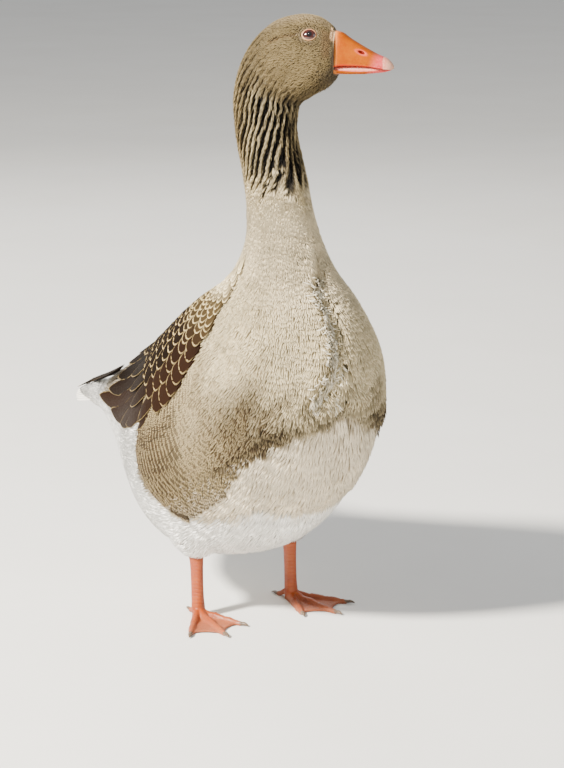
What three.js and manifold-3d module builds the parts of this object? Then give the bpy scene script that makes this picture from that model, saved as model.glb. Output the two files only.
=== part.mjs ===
// A domestic goose, standing, with its head turned to its left: a still, life-size model.
// Millimetres, +Z up, the floor at z = 0. The goose faces -Y and its left side is +X.
import * as THREE from "three";
import { mergeVertices } from "three/addons/utils/BufferGeometryUtils.js";
import Module from "manifold-3d";

const wasm = await Module();
wasm.setup();

// ---- Driving dimensions ----

const GAP = 0.3;                                   // left between neighbouring pieces
const HEAD_TURN = THREE.MathUtils.degToRad(40);    // of the head, to the goose's left
const NECK_AXIS = 47;                              // the axis it turns about, forward of the legs
const MIDDLE = -94;                                // forward place of the middle of the outline

// The body from the root of the tail to the root of the bill. Each row is one cross-section:
// back (forward, up), belly (forward, up), half width, level of the widest point as a share
// of the height, squareness above it and below it, and share of the head's turn.
const SECTIONS = [
  [-296, 234, -282, 182, 33, 0.55, 2.2, 2.3, 0],       // 0 root of the tail
  [-256, 258, -236, 140, 42, 0.50, 2.0, 2.3, 0],       // 1 rump and vent
  [-206, 288, -184, 90, 60, 0.46, 1.9, 2.3, 0],        // 2 hind belly
  [-146, 323, -112, 66, 90, 0.44, 1.9, 2.3, 0],        // 3 middle of the belly
  [-88, 359, -30, 66, 118, 0.43, 1.95, 2.3, 0],        // 4 loin, over the legs
  [-44, 388, 55, 88, 127, 0.44, 2.0, 2.2, 0],          // 5 low breast
  [-16, 405, 132, 146, 122, 0.45, 1.95, 2.1, 0],       // 6 breast
  [-2, 415, 186, 225, 111, 0.44, 1.8, 2.1, 0],         // 7 high breast
  [8, 429, 206, 305, 93, 0.42, 1.75, 2.1, 0],          // 8 crop
  [15, 444, 193, 378, 66, 0.42, 1.8, 2.1, 0],          // 9 foot of the neck
  [22, 468, 156, 435, 43, 0.45, 1.9, 2.0, 0],          // 10 base of the neck
  [23.5, 502, 122, 490, 34, 0.48, 2.0, 2.0, 0.05],     // 11 low neck
  [18, 538, 102, 535, 32.5, 0.50, 2.0, 2.0, 0.25],     // 12 middle of the neck
  [11, 575, 86, 573, 33.5, 0.50, 2.0, 2.0, 0.6],       // 13 slimmest neck
  [8, 604, 83, 602, 35, 0.50, 2.0, 2.0, 0.85],         // 14 high neck
  [8, 628, 85, 617, 36, 0.50, 2.0, 2.0, 1],            // 15 low nape
  [13, 656, 90, 623, 35.5, 0.50, 2.0, 2.0, 1],         // 16 nape
  [29, 690, 96, 627, 35, 0.48, 2.0, 2.2, 1],           // 17 back of the head
  [55, 714, 102, 631, 33.5, 0.46, 2.0, 2.2, 1],        // 18 back of the crown
  [83, 723, 111, 636, 31.5, 0.45, 2.0, 2.2, 1],        // 19 crown
  [105, 722, 119, 641, 28, 0.45, 2.0, 2.2, 1],         // 20 over the eyes
  [119, 715, 126, 648, 23.5, 0.46, 2.0, 2.2, 1],       // 21 forehead
  [129, 706, 130, 655, 18, 0.47, 2.0, 2.2, 1],         // 22 root of the bill
];
const NECK_FROM = 9.5;                             // section where the neck leaves the trunk
const NECK_HALF = 12.6;                            // where the low neck meets the high neck
const HEAD_FROM = 16.4;                            // where the head starts


// The folded wing covers this run of sections; root is how far its hidden side reaches in.
const WING = { rear: 0.4, front: 8.9, recess: 6, edge: 1, raise: 3, edgeRaise: 1.6, root: -15 };
const BILL_FROM = 22;                              // where the bill starts
const EYE = { section: 19.65, angle: 56, radius: 7, depth: 5.4 };

const LEG = { x: 65, hock: 92, ankle: 13, turnOut: 9 };
const STANCE = { left: 2, right: -8 };             // how far forward each foot stands
const HIND_TOE = 24;                               // from the ankle's middle back to its end
const FOOT = { middleToe: 80, outerToe: 72, innerToe: 64, spread: 31, web: 2.4 };

// ---- Shape helpers ----

const degrees = THREE.MathUtils.degToRad;
const smooth = (value) => THREE.MathUtils.smoothstep(value, 0, 1);

// A point of the goose: to its left, forward, up.
const place = (left, forward, up) => new THREE.Vector3(left, -forward, up);

// A point in the plane of the turned head, measured from the neck's axis.
function headPlace(left, forward, up, turn = HEAD_TURN) {
  const turned = new THREE.Vector3(left, -forward, 0).applyAxisAngle(new THREE.Vector3(0, 0, 1), turn);
  return turned.add(place(0, NECK_AXIS, up));
}

// A smooth run through a column of numbers, read at a fractional row.
function smoothRun(rows, column, at) {
  const first = THREE.MathUtils.clamp(Math.floor(at), 0, rows.length - 2);
  const t = at - first;
  const value = (row) => rows[row][column];
  const p1 = value(first);
  const p2 = value(first + 1);
  const p0 = first > 0 ? value(first - 1) : 2 * p1 - p2;
  const p3 = first < rows.length - 2 ? value(first + 2) : 2 * p2 - p1;
  return 0.5 * (2 * p1 + (p2 - p0) * t + (2 * p0 - 5 * p1 + 4 * p2 - p3) * t * t
    + (3 * p1 - p0 - 3 * p2 + p3) * t * t * t);
}

// A point of the body's surface. The angle runs from the back round the left side to the belly.
function bodyPoint(section, angle, offset = 0) {
  const read = (column) => smoothRun(SECTIONS, column, section);
  const turn = HEAD_TURN * read(8);
  const back = headPlace(0, read(0) - NECK_AXIS, read(1), turn);
  const belly = headPlace(0, read(2) - NECK_AXIS, read(3), turn);
  const level = read(5);
  const height = back.distanceTo(belly);
  const upward = back.clone().sub(belly).normalize();
  const sideways = new THREE.Vector3(Math.cos(turn), Math.sin(turn), 0);
  const sine = Math.sin(angle);
  const cosine = Math.cos(angle);
  const squareness = cosine > 0 ? read(6) : read(7);
  const radius = (Math.abs(sine) ** squareness + Math.abs(cosine) ** squareness) ** (-1 / squareness);
  const rise = (cosine > 0 ? 1 - level : level) * height + offset;
  return belly.lerp(back, level)
    .addScaledVector(sideways, (read(4) + offset) * radius * sine)
    .addScaledVector(upward, rise * radius * cosine);
}

// A closed solid from rings of points, each end filled by a fan.
function loft(rings) {
  const count = rings[0].length;
  const points = rings.flat();
  const triangles = [];
  for (let ring = 0; ring < rings.length - 1; ring += 1) {
    for (let k = 0; k < count; k += 1) {
      const a = ring * count + k;
      const b = ring * count + (k + 1) % count;
      triangles.push(a, b, b + count, a, b + count, a + count);
    }
  }
  for (const [ring, flip] of [[0, true], [rings.length - 1, false]]) {
    const middle = new THREE.Vector3();
    rings[ring].forEach((point) => middle.add(point));
    points.push(middle.divideScalar(count));
    for (let k = 0; k < count; k += 1) {
      const a = ring * count + k;
      const b = ring * count + (k + 1) % count;
      triangles.push(...(flip ? [b, a] : [a, b]), points.length - 1);
    }
  }
  return solid(points, triangles);
}

// A closed solid from points and triangles, turned so that its faces point out.
function solid(points, triangles) {
  const vertProperties = new Float32Array(points.flatMap((point) => point.toArray()));
  let volume = 0;
  for (let k = 0; k < triangles.length; k += 3) {
    const [a, b, c] = [0, 1, 2].map((corner) => points[triangles[k + corner]]);
    volume += a.dot(b.clone().cross(c));
  }
  const outward = volume > 0 ? triangles : triangles.toReversed();
  const mesh = new wasm.Mesh({ numProp: 3, vertProperties, triVerts: new Uint32Array(outward) });
  return new wasm.Manifold(mesh);
}

// A closed slab between two sheets that share the corners of one grid.
function slab(outer, inner, rows, columns) {
  const points = [];
  for (const sheet of [outer, inner]) {
    for (let i = 0; i <= rows; i += 1) {
      for (let j = 0; j <= columns; j += 1) points.push(sheet(i / rows, j / columns));
    }
  }
  const at = (sheet, i, j) => (sheet * (rows + 1) + i) * (columns + 1) + j;
  const triangles = [];
  const quad = (a, b, c, d) => triangles.push(a, b, c, a, c, d);
  for (let i = 0; i < rows; i += 1) {
    for (let j = 0; j < columns; j += 1) {
      quad(at(0, i, j), at(0, i + 1, j), at(0, i + 1, j + 1), at(0, i, j + 1));
      quad(at(1, i, j), at(1, i, j + 1), at(1, i + 1, j + 1), at(1, i + 1, j));
    }
    quad(at(0, i, 0), at(1, i, 0), at(1, i + 1, 0), at(0, i + 1, 0));
    quad(at(0, i, columns), at(0, i + 1, columns), at(1, i + 1, columns), at(1, i, columns));
  }
  for (let j = 0; j < columns; j += 1) {
    quad(at(0, 0, j), at(0, 0, j + 1), at(1, 0, j + 1), at(1, 0, j));
    quad(at(0, rows, j), at(1, rows, j), at(1, rows, j + 1), at(0, rows, j + 1));
  }
  return solid(points, triangles);
}

// A three.js geometry as a solid.
function solidOf(geometry) {
  const bare = geometry.clone();
  bare.deleteAttribute("normal");
  bare.deleteAttribute("uv");
  const merged = mergeVertices(bare, 1e-4);
  const positions = merged.getAttribute("position");
  const corner = (_, k) => new THREE.Vector3().fromBufferAttribute(positions, k);
  return solid(Array.from({ length: positions.count }, corner), Array.from(merged.index.array));
}

// An oval ring round a middle, with one half axis to each side and one up or forward.
function oval(middle, sideways, upward, halfWidth, halfHeight, count, squareness = 2) {
  return Array.from({ length: count }, (_, k) => {
    const angle = (2 * Math.PI * k) / count;
    const sine = Math.sin(angle);
    const cosine = Math.cos(angle);
    const radius = (Math.abs(sine) ** squareness + Math.abs(cosine) ** squareness) ** (-1 / squareness);
    return middle.clone()
      .addScaledVector(sideways, halfWidth * radius * sine)
      .addScaledVector(upward, halfHeight * radius * cosine);
  });
}

const goose = new THREE.Group();
goose.position.set(0, MIDDLE, 0);

// Adds a solid to the goose as a named mesh.
function addPiece(name, shape, colour, roughness) {
  const { vertProperties, triVerts } = shape.getMesh();
  const geometry = new THREE.BufferGeometry();
  geometry.setAttribute("position", new THREE.BufferAttribute(vertProperties, 3));
  geometry.setIndex(new THREE.BufferAttribute(triVerts, 1));
  geometry.computeVertexNormals();
  const material = new THREE.MeshStandardMaterial({ color: colour, roughness, metalness: 0 });
  const mesh = new THREE.Mesh(geometry, material);
  mesh.name = name;
  goose.add(mesh);
}

const SIDES = [["left", 1], ["right", -1]];

// ---- Wings: the folded wing lies in a shallow recess of the trunk's side ----

const wingTop = (section) => 10 + 24 * smooth((section - 7.6) / 1.5);
const wingLow = (section) => 74 - 20 * smooth((section - 5.6) / 3.2) - 22 * smooth((3.8 - section) / 3.6);

// How deep a place is inside the wing's outline: 0 at its edges, 1 well inside.
function wingCover(section, angle) {
  const side = Math.abs(THREE.MathUtils.radToDeg(angle));
  const along = Math.min(section - WING.rear, WING.front - section) / 1.2;
  const across = Math.min(side - wingTop(section), wingLow(section) - side) / 22;
  return { inside: Math.min(along, across) > -0.5, depth: smooth(Math.min(along, across)) };
}

function trunkOffset(section, angle) {
  const cover = wingCover(section, angle);
  return cover.inside ? -WING.edge - (WING.recess - WING.edge) * cover.depth : 0;
}

function bodySolid(from, to, step, count, offset) {
  const steps = Math.round((to - from) / step);
  return loft(Array.from({ length: steps + 1 }, (_, i) => {
    const section = from + ((to - from) * i) / steps;
    return Array.from({ length: count }, (__, k) => {
      const turned = (2 * Math.PI * k) / count;
      const angle = turned > Math.PI ? turned - 2 * Math.PI : turned;
      return bodyPoint(section, angle, offset(section, angle));
    });
  }));
}

const trunkOffsetWithGap = (section, angle) => trunkOffset(section, angle) + GAP;
const trunk = bodySolid(0, NECK_FROM - 0.01, 0.5, 32, trunkOffset);
const trunkWithGap = bodySolid(-0.02, NECK_FROM + 0.01, 0.5, 32, trunkOffsetWithGap);

function wingSolid(side) {
  const sheet = (offset) => (u, v) => {
    const section = WING.rear + (WING.front - WING.rear) * u;
    const angle = degrees(wingTop(section) + (wingLow(section) - wingTop(section)) * v);
    return bodyPoint(section, side * angle, offset(section, angle));
  };
  const outer = (section, angle) => (
    THREE.MathUtils.lerp(WING.edgeRaise, WING.raise, wingCover(section, angle).depth)
  );
  return slab(sheet(outer), sheet(() => WING.root), 16, 7);
}

// The tips of the long wing quills lie flat over the tail, the left ones across the right ones.
const QUILLS = [
  // left, forward, up, half width, half thickness
  [27, -268, 240, 13, 3.6],
  [22, -296, 231, 12, 3.2],
  [14, -330, 221, 9, 2.6],
  [5, -362, 209, 6, 2],
  [-5, -394, 194, 2, 1.2],
];
function quillSolid(side, grow, lift) {
  const across = new THREE.Vector3(side * 0.93, 0, -0.37);
  const outward = new THREE.Vector3(side * 0.37, 0, 0.93);
  return loft(QUILLS.map(([left, forward, up, halfWidth, halfThickness], k) => {
    const middle = place(side * left, forward, up + lift * smooth(k / 2));
    return oval(middle, across, outward, halfWidth + grow, halfThickness + grow, 10);
  }));
}

// ---- Tail: a rounded fan that grows out of the last section ----

function tailSolid(grow) {
  const rows = [
    // top (forward, up), underside (forward, up), half width
    [-297.5, 234, -283.5, 182, 33],
    [-318, 228, -308, 190, 33],
    [-338, 220.5, -331, 195, 29.5],
    [-356, 213, -351, 198.5, 23],
    [-369, 207, -366, 200.5, 15],
    [-377, 203, -376, 201, 7],
  ];
  return loft(rows.map(([topForward, top, lowForward, low, half]) => {
    const up = place(0, topForward, top);
    const down = place(0, lowForward, low);
    const upward = up.clone().sub(down).normalize();
    const halfHeight = up.distanceTo(down) / 2 + grow;
    return oval(up.lerp(down, 0.5), new THREE.Vector3(1, 0, 0), upward, half + grow, halfHeight, 20, 2.3);
  }));
}

// ---- Legs ----

const legForward = (side) => (side > 0 ? STANCE.left : STANCE.right);

function shankSolid(side, grow) {
  const rows = [
    // up, forward of the leg's line, half width, half depth
    [LEG.ankle + 0.3, 1, 8.4, 9.6],
    [24, 0, 7.6, 9.8],
    [44, -1, 7.2, 10],
    [66, -2, 7.6, 10.8],
    [82, -4, 9.4, 12],
    [LEG.hock, -6, 8.4, 10.6],
  ];
  return loft(rows.map(([up, forward, halfWidth, halfDepth]) => oval(
    place(side * LEG.x, legForward(side) + forward, up),
    new THREE.Vector3(side, 0, 0),
    new THREE.Vector3(0, -1, 0),
    halfWidth + grow,
    halfDepth + grow,
    14,
  )));
}

function thighSolid(side) {
  const rows = [
    // left, forward, up, half width, half depth
    [60, -6, 152, 36, 54],
    [62, -7, 126, 37, 52],
    [64, -7, 104, 34, 44],
    [65, -6, 88, 26, 32],
    [65, -4, 77, 17, 21],
    [65, -3, 72.5, 10.5, 13],
  ];
  return loft(rows.map(([left, forward, up, halfWidth, halfDepth]) => oval(
    place(side * left, legForward(side) + forward, up),
    new THREE.Vector3(side, 0, 0),
    new THREE.Vector3(0, -1, 0),
    halfWidth,
    halfDepth,
    18,
  )));
}

// A toe with a flat sole on the floor, from the ankle outwards.
function toeSolid(length, heading) {
  const along = new THREE.Vector3(Math.sin(heading), -Math.cos(heading), 0);
  const across = new THREE.Vector3(Math.cos(heading), Math.sin(heading), 0);
  const rows = [
    // share of the length, half width, height
    [-0.08, 5, 7],
    [0.08, 6.6, 12.5],
    [0.3, 5, 9.4],
    [0.42, 5.6, 9.8],
    [0.6, 4.4, 7.6],
    [0.7, 4.8, 7.8],
    [0.88, 3.6, 6],
    [1, 2.4, 4.4],
  ];
  return loft(rows.map(([share, half, height]) => {
    const foot = along.clone().multiplyScalar(share * length);
    return Array.from({ length: 9 }, (_, k) => {
      const angle = Math.PI * (k / 8);
      return foot.clone()
        .addScaledVector(across, half * Math.cos(angle))
        .add(new THREE.Vector3(0, 0, height * Math.sin(angle) ** 0.8));
    });
  }));
}

const TOES = (side) => [
  ["middle", FOOT.middleToe, 0],
  ["outer", FOOT.outerToe, side * degrees(FOOT.spread)],
  ["inner", FOOT.innerToe, -side * degrees(FOOT.spread)],
];
const tipOf = (length, heading) => new THREE.Vector2(Math.sin(heading) * length, -Math.cos(heading) * length);

function footSolid(side) {
  const toes = TOES(side);
  const outline = new THREE.Shape();
  outline.moveTo(0, 4);
  const webTips = [toes[1], toes[0], toes[2]].map(([, length, heading]) => tipOf(length * 0.93, heading));
  outline.lineTo(webTips[0].x, webTips[0].y);
  for (const tip of webTips.slice(1)) {
    const before = outline.currentPoint.clone();
    const dip = before.clone().add(tip).multiplyScalar(0.5 * 0.84);
    outline.quadraticCurveTo(dip.x, dip.y, tip.x, tip.y);
  }
  outline.lineTo(0, 4);
  const web = new THREE.ExtrudeGeometry(outline, { depth: FOOT.web, bevelEnabled: false, curveSegments: 6 });
  web.translate(0, 0, 0.9);
  const rows = [
    // up, half width, half depth
    [0, 9.5, 10],
    [7, 9, 10.5],
    [LEG.ankle, 8, 9],
  ];
  let foot = solidOf(web).add(loft(rows.map(([up, halfWidth, halfDepth]) => oval(
    place(0, 1, up),
    new THREE.Vector3(1, 0, 0),
    new THREE.Vector3(0, -1, 0),
    halfWidth,
    halfDepth,
    14,
  ))));
  for (const [, length, heading] of toes) foot = foot.add(toeSolid(length, heading));
  return foot;
}

// A claw past the end of a toe, bent down towards the floor but clear of it.
function clawSolid(length, heading) {
  const along = new THREE.Vector3(Math.sin(heading), -Math.cos(heading), 0);
  const across = new THREE.Vector3(Math.cos(heading), Math.sin(heading), 0);
  const upward = new THREE.Vector3(0, 0, 1);
  const rows = [
    // past the toe, up, half width, half height
    [GAP, 2.6, 2.5, 2.1],
    [3.6, 3.1, 2.4, 2],
    [7, 2.7, 1.7, 1.4],
    [9.8, 1.6, 0.7, 0.6],
  ];
  return loft(rows.map(([past, up, halfWidth, halfHeight]) => {
    const middle = along.clone().multiplyScalar(length + past).setZ(up);
    return oval(middle, across, upward, halfWidth, halfHeight, 8);
  }));
}

// The short hind toe slopes down behind the ankle and rests its end on the floor.
function hindToeSolid() {
  const rows = [
    // forward, lowest level, half width, height
    [-9.9, 4, 3.8, 8],
    [-14, 1.8, 3.6, 7.4],
    [-18, 0, 3.3, 6.4],
    [-HIND_TOE, 0, 2.3, 4.4],
  ];
  return loft(rows.map(([forward, sole, half, height]) => Array.from({ length: 9 }, (_, k) => {
    const angle = Math.PI * (k / 8);
    return place(half * Math.cos(angle), forward, sole + height * Math.sin(angle) ** 0.8);
  })));
}

// ---- Bill, in the plane of the turned head ----

// Each row: ridge (forward, up), edge (forward, up), half width, fullness of the sides.
function billSolid(rows, count) {
  const lerp = THREE.MathUtils.lerp;
  return loft(rows.map(([ridgeForward, ridge, edgeForward, edge, half, fullness]) => (
    Array.from({ length: count }, (_, k) => {
      const turn = Math.PI * (k / (count - 1));
      const share = Math.sin(turn);
      const width = half * Math.sign(Math.cos(turn)) * Math.abs(Math.cos(turn)) ** fullness;
      return headPlace(width, lerp(edgeForward, ridgeForward, share), lerp(edge, ridge, share));
    })
  )));
}

const UPPER_BILL = [
  [82.5, 705.5, 83.3, 666.3, 15.5, 0.75],
  [89.5, 703, 91, 667, 15.2, 0.72],
  [98, 697, 99, 667.3, 14.6, 0.68],
  [109, 690.5, 111, 667.3, 13.7, 0.64],
  [119, 685, 121, 666.8, 12.8, 0.6],
  [128, 680.3, 129.5, 665.6, 12, 0.56],
  [136.5, 677, 137.5, 664.5, 10.7, 0.55],
];
const NAIL = [
  [136.9, 676.9, 137.9, 664.4, 10.5, 0.55],
  [141, 674.8, 141.8, 663.9, 9, 0.55],
  [145, 671.5, 145.2, 663.6, 6.4, 0.55],
  [148, 667.6, 147.6, 663.9, 2.6, 0.6],
];
const LOWER_BILL = [
  [83.4, 656.8, 83.2, 662.3, 13.6, 0.5],
  [97, 657, 97, 661.2, 13, 0.5],
  [115, 657.6, 115, 660.8, 11.8, 0.5],
  [128, 659, 128, 662, 10.6, 0.5],
  [138, 660.2, 138, 663, 8.2, 0.5],
  [143.5, 661.8, 143.5, 663.1, 4, 0.5],
];
const GUMS = [
  [84.4, 665.9, 84.4, 662.8, 12.2, 0.4],
  [97, 666.8, 97, 661.6, 12, 0.4],
  [112, 666.8, 112, 661.4, 11, 0.4],
  [124, 666, 124, 662, 10, 0.4],
  [134, 664.4, 134, 663.2, 8.4, 0.4],
];
const NOSTRIL = { forward: 112.5, up: 682.6, left: 9.2, length: 4.6, height: 1.9, depth: 2.6, slope: 24 };

function nostrilSolid(side) {
  const pit = new THREE.SphereGeometry(1, 10, 6);
  pit.scale(NOSTRIL.depth, NOSTRIL.length, NOSTRIL.height);
  pit.rotateX(degrees(NOSTRIL.slope));
  pit.rotateZ(HEAD_TURN);
  const middle = headPlace(side * NOSTRIL.left, NOSTRIL.forward, NOSTRIL.up);
  pit.translate(middle.x, middle.y, middle.z);
  return solidOf(pit);
}

// ---- Eyes ----

function eyeMiddle(side) {
  const angle = side * degrees(EYE.angle);
  const point = bodyPoint(EYE.section, angle);
  const along = bodyPoint(EYE.section + 0.05, angle).sub(point);
  const around = bodyPoint(EYE.section, angle + 0.02).sub(point);
  const outward = around.cross(along).normalize();
  const sideways = headPlace(side, 0, 0).sub(headPlace(0, 0, 0));
  return point.addScaledVector(outward, outward.dot(sideways) > 0 ? -EYE.depth : EYE.depth);
}

function eyeSolid(side, grow) {
  const ball = new THREE.SphereGeometry(EYE.radius + grow, 14, 8);
  const middle = eyeMiddle(side);
  ball.translate(middle.x, middle.y, middle.z);
  return solidOf(ball);
}

// ---- Assembly ----

const sockets = eyeSolid(1, GAP).add(eyeSolid(-1, GAP));
const head = bodySolid(HEAD_FROM + 0.02, BILL_FROM, 0.5, 24, () => 0).subtract(sockets);
addPiece("head", head, 0x82765f, 0.9);
addPiece("neck_upper", bodySolid(NECK_HALF + 0.01, HEAD_FROM - 0.02, 0.48, 24, () => 0), 0x7c705c, 0.9);
addPiece("neck_lower", bodySolid(NECK_FROM + 0.01, NECK_HALF - 0.01, 0.5, 24, () => 0), 0xc8beaf, 0.9);
addPiece("trunk", trunk, 0xafa596, 0.9);
addPiece("tail", tailSolid(0), 0xe8e4da, 0.9);

const upperBill = billSolid(UPPER_BILL, 15).subtract(nostrilSolid(1)).subtract(nostrilSolid(-1));
addPiece("bill_upper", upperBill, 0xf08a1c, 0.45);
addPiece("bill_nail", billSolid(NAIL, 13), 0xf0c8b4, 0.4);
addPiece("bill_lower", billSolid(LOWER_BILL, 11), 0xe88038, 0.45);
addPiece("bill_gums", billSolid(GUMS, 9), 0xf2b8ae, 0.4);

for (const [name, side] of SIDES) {
  addPiece(`eye_${name}`, eyeSolid(side, 0), 0x2a1410, 0.1);
  const lift = side > 0 ? 5 : 0;
  const quillsWithGap = quillSolid(side, GAP, lift);
  const wing = wingSolid(side).subtract(trunkWithGap).subtract(quillsWithGap);
  addPiece(`wing_${name}`, wing, 0x3f3026, 0.85);
  let quills = quillSolid(side, 0, lift).subtract(trunkWithGap).subtract(tailSolid(GAP));
  if (name === "left") quills = quills.subtract(quillSolid(-1, GAP, 0));
  addPiece(`wing_quills_${name}`, quills, 0x2b221c, 0.8);

  const thigh = thighSolid(side).subtract(trunkWithGap).subtract(shankSolid(side, GAP));
  addPiece(`thigh_${name}`, thigh, 0xa89c8a, 0.9);
  addPiece(`shank_${name}`, shankSolid(side, 0).subtract(trunkWithGap), 0xd86a22, 0.6);

  const turnOut = side * LEG.turnOut;
  const standing = place(side * LEG.x, legForward(side), 0).toArray();
  const setDown = (shape) => shape.rotate([0, 0, turnOut]).translate(standing);
  addPiece(`foot_${name}`, setDown(footSolid(side)), 0xdc7428, 0.6);
  for (const [toe, length, heading] of TOES(side)) {
    addPiece(`claw_${toe}_${name}`, setDown(clawSolid(length, heading)), 0x4a3c30, 0.4);
  }
  addPiece(`hind_toe_${name}`, setDown(hindToeSolid()), 0xdc7428, 0.6);
  addPiece(`claw_hind_${name}`, setDown(clawSolid(HIND_TOE, Math.PI).scale([1, 1, 0.8])), 0x4a3c30, 0.4);
}

export default goose;
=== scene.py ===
# %% [markdown]
# # A standing goose
# This lesson dresses a goose whose plain solids are already made. It adds the skin, the eyes,
# the bill, the legs and, above all, the plumage. It begins with the frame of plain solids,
# because each new piece has to lie where its solid lies.
# %% Load the frame
import math
import bpy
import numpy as np
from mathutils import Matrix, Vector


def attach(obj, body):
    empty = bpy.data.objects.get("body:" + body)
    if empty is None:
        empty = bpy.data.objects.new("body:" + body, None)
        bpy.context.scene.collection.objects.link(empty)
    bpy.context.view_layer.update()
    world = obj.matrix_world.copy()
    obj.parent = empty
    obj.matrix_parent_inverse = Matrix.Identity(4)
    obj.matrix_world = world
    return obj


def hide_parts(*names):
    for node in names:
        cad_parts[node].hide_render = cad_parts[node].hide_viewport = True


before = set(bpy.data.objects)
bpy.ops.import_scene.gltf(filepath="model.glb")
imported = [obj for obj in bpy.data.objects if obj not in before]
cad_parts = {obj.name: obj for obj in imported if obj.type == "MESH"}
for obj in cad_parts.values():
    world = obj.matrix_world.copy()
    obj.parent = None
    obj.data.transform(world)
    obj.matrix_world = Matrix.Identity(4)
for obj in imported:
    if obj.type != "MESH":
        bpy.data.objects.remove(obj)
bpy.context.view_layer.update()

# %% [markdown]
# ## The form of the body
# A goose's body, neck and head are one tube that swells and bends. It can be sculpted, or drawn
# as cross-sections that a smooth curve joins. The sections are the better way here, because
# every point of the skin then has two plain numbers, how far along it is and how far round, and
# each feather can be told where it grows with the same two numbers.
# %% The sections, in millimetres
# back (forward, up), belly (forward, up), half width, level of the widest point,
# squareness above and below, share of the head's turn
SECTIONS = [
    (-377, 203, -376, 201, 7, 0.5, 2.3, 2.3, 0),       # -5 end of the tail's fleshy root
    (-369, 207, -366, 200.5, 15, 0.5, 2.3, 2.3, 0),
    (-356, 213, -351, 198.5, 23, 0.5, 2.3, 2.3, 0),
    (-338, 220.5, -331, 195, 29.5, 0.5, 2.3, 2.3, 0),
    (-318, 228, -308, 190, 33, 0.5, 2.3, 2.3, 0),
    (-296, 234, -282, 182, 33, 0.55, 2.2, 2.3, 0),     # 0 root of the tail
    (-256, 258, -236, 140, 42, 0.50, 2.0, 2.3, 0),
    (-206, 288, -184, 90, 60, 0.46, 1.9, 2.3, 0),
    (-146, 323, -112, 66, 90, 0.44, 1.9, 2.3, 0),
    (-88, 359, -30, 66, 118, 0.43, 1.95, 2.3, 0),      # 4 over the legs
    (-44, 388, 55, 88, 127, 0.44, 2.0, 2.2, 0),
    (-16, 405, 132, 146, 122, 0.45, 1.95, 2.1, 0),
    (-2, 415, 186, 225, 111, 0.44, 1.8, 2.1, 0),
    (8, 429, 206, 305, 93, 0.42, 1.75, 2.1, 0),        # 8 crop
    (15, 444, 193, 378, 66, 0.42, 1.8, 2.1, 0),
    (22, 468, 156, 435, 43, 0.45, 1.9, 2.0, 0),
    (23.5, 502, 122, 490, 34, 0.48, 2.0, 2.0, 0.05),
    (18, 538, 102, 535, 32.5, 0.50, 2.0, 2.0, 0.25),   # 12 middle of the neck
    (11, 575, 86, 573, 33.5, 0.50, 2.0, 2.0, 0.6),
    (8, 604, 83, 602, 35, 0.50, 2.0, 2.0, 0.85),
    (8, 628, 85, 617, 36, 0.50, 2.0, 2.0, 1),
    (13, 656, 90, 623, 35.5, 0.50, 2.0, 2.0, 1),       # 16 nape
    (29, 690, 96, 627, 35, 0.48, 2.0, 2.2, 1),
    (55, 714, 102, 631, 33.5, 0.46, 2.0, 2.2, 1),
    (83, 723, 111, 636, 31.5, 0.45, 2.0, 2.2, 1),
    (105, 722, 119, 641, 28, 0.45, 2.0, 2.2, 1),       # 20 over the eyes
    (119, 715, 126, 648, 23.5, 0.46, 2.0, 2.2, 1),
    (129, 706, 130, 655, 18, 0.47, 2.0, 2.2, 1),       # 22 root of the bill
]
TAIL_END, BILL_ROOT = -5, 22
MM = 0.001
HEAD_TURN = math.radians(40)
NECK_AXIS = 47      # the upright line that the head turns about, forward of the sections' zero, mm
MIDDLE = -94        # moves the middle of the goose over the origin, mm
rows = np.array(SECTIONS, float)
print("sections:", len(rows))

# %% [markdown]
# A Catmull-Rom curve runs through each column of that table. It passes through every given
# value and bends no more than it has to between them.
# %% Read the form at any place
def smooth_run(table, at):
    """Rows of the table read at fractional places, along a smooth curve."""
    at = np.clip(np.asarray(at, float), 0, len(table) - 1)
    first = np.minimum(at.astype(int), len(table) - 2)
    t = (at - first)[..., None]
    p1, p2 = table[first], table[first + 1]
    p0 = np.where((first > 0)[..., None], table[np.maximum(first - 1, 0)], 2 * p1 - p2)
    p3 = np.where((first < len(table) - 2)[..., None],
                  table[np.minimum(first + 2, len(table) - 1)], 2 * p2 - p1)
    return 0.5 * (2 * p1 + (p2 - p0) * t + (2 * p0 - 5 * p1 + 4 * p2 - p3) * t ** 2
                  + (3 * p1 - p0 - 3 * p2 + p3) * t ** 3)


def between(a, b, share):
    """a where the share is 0, b where it is 1."""
    return a * (1 - share) + b * share


def head_place(left, forward, up, turn=HEAD_TURN):
    """A point in metres, measured in millimetres in a plane turned about the neck's axis."""
    left, forward, up, turn = np.broadcast_arrays(left, forward, up, turn)
    x = left * np.cos(turn) + forward * np.sin(turn)
    y = left * np.sin(turn) - forward * np.cos(turn) - NECK_AXIS + MIDDLE
    return np.stack([x, y, up + 0.0 * x], -1) * MM


def body_point(s, v):
    """The outline of the plumage: s runs from the tail to the bill, v in degrees from the back."""
    s, v = np.broadcast_arrays(np.asarray(s, float), np.radians(np.asarray(v, float)))
    q = smooth_run(rows, s - TAIL_END)
    turn = HEAD_TURN * q[..., 8]
    back = head_place(0, q[..., 0] - NECK_AXIS, q[..., 1], turn)
    belly = head_place(0, q[..., 2] - NECK_AXIS, q[..., 3], turn)
    level = q[..., 5]
    height = np.linalg.norm(back - belly, axis=-1)
    upward = (back - belly) / height[..., None]
    sideways = np.stack([np.cos(turn), np.sin(turn), 0 * turn], -1)
    power = np.where(np.cos(v) > 0, q[..., 6], q[..., 7])
    radius = (np.abs(np.sin(v)) ** power + np.abs(np.cos(v)) ** power) ** (-1 / power)
    rise = np.where(np.cos(v) > 0, 1 - level, level) * height
    return (between(belly, back, level[..., None])
            + sideways * (q[..., 4] * MM * radius * np.sin(v))[..., None]
            + upward * (rise * radius * np.cos(v))[..., None])


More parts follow.
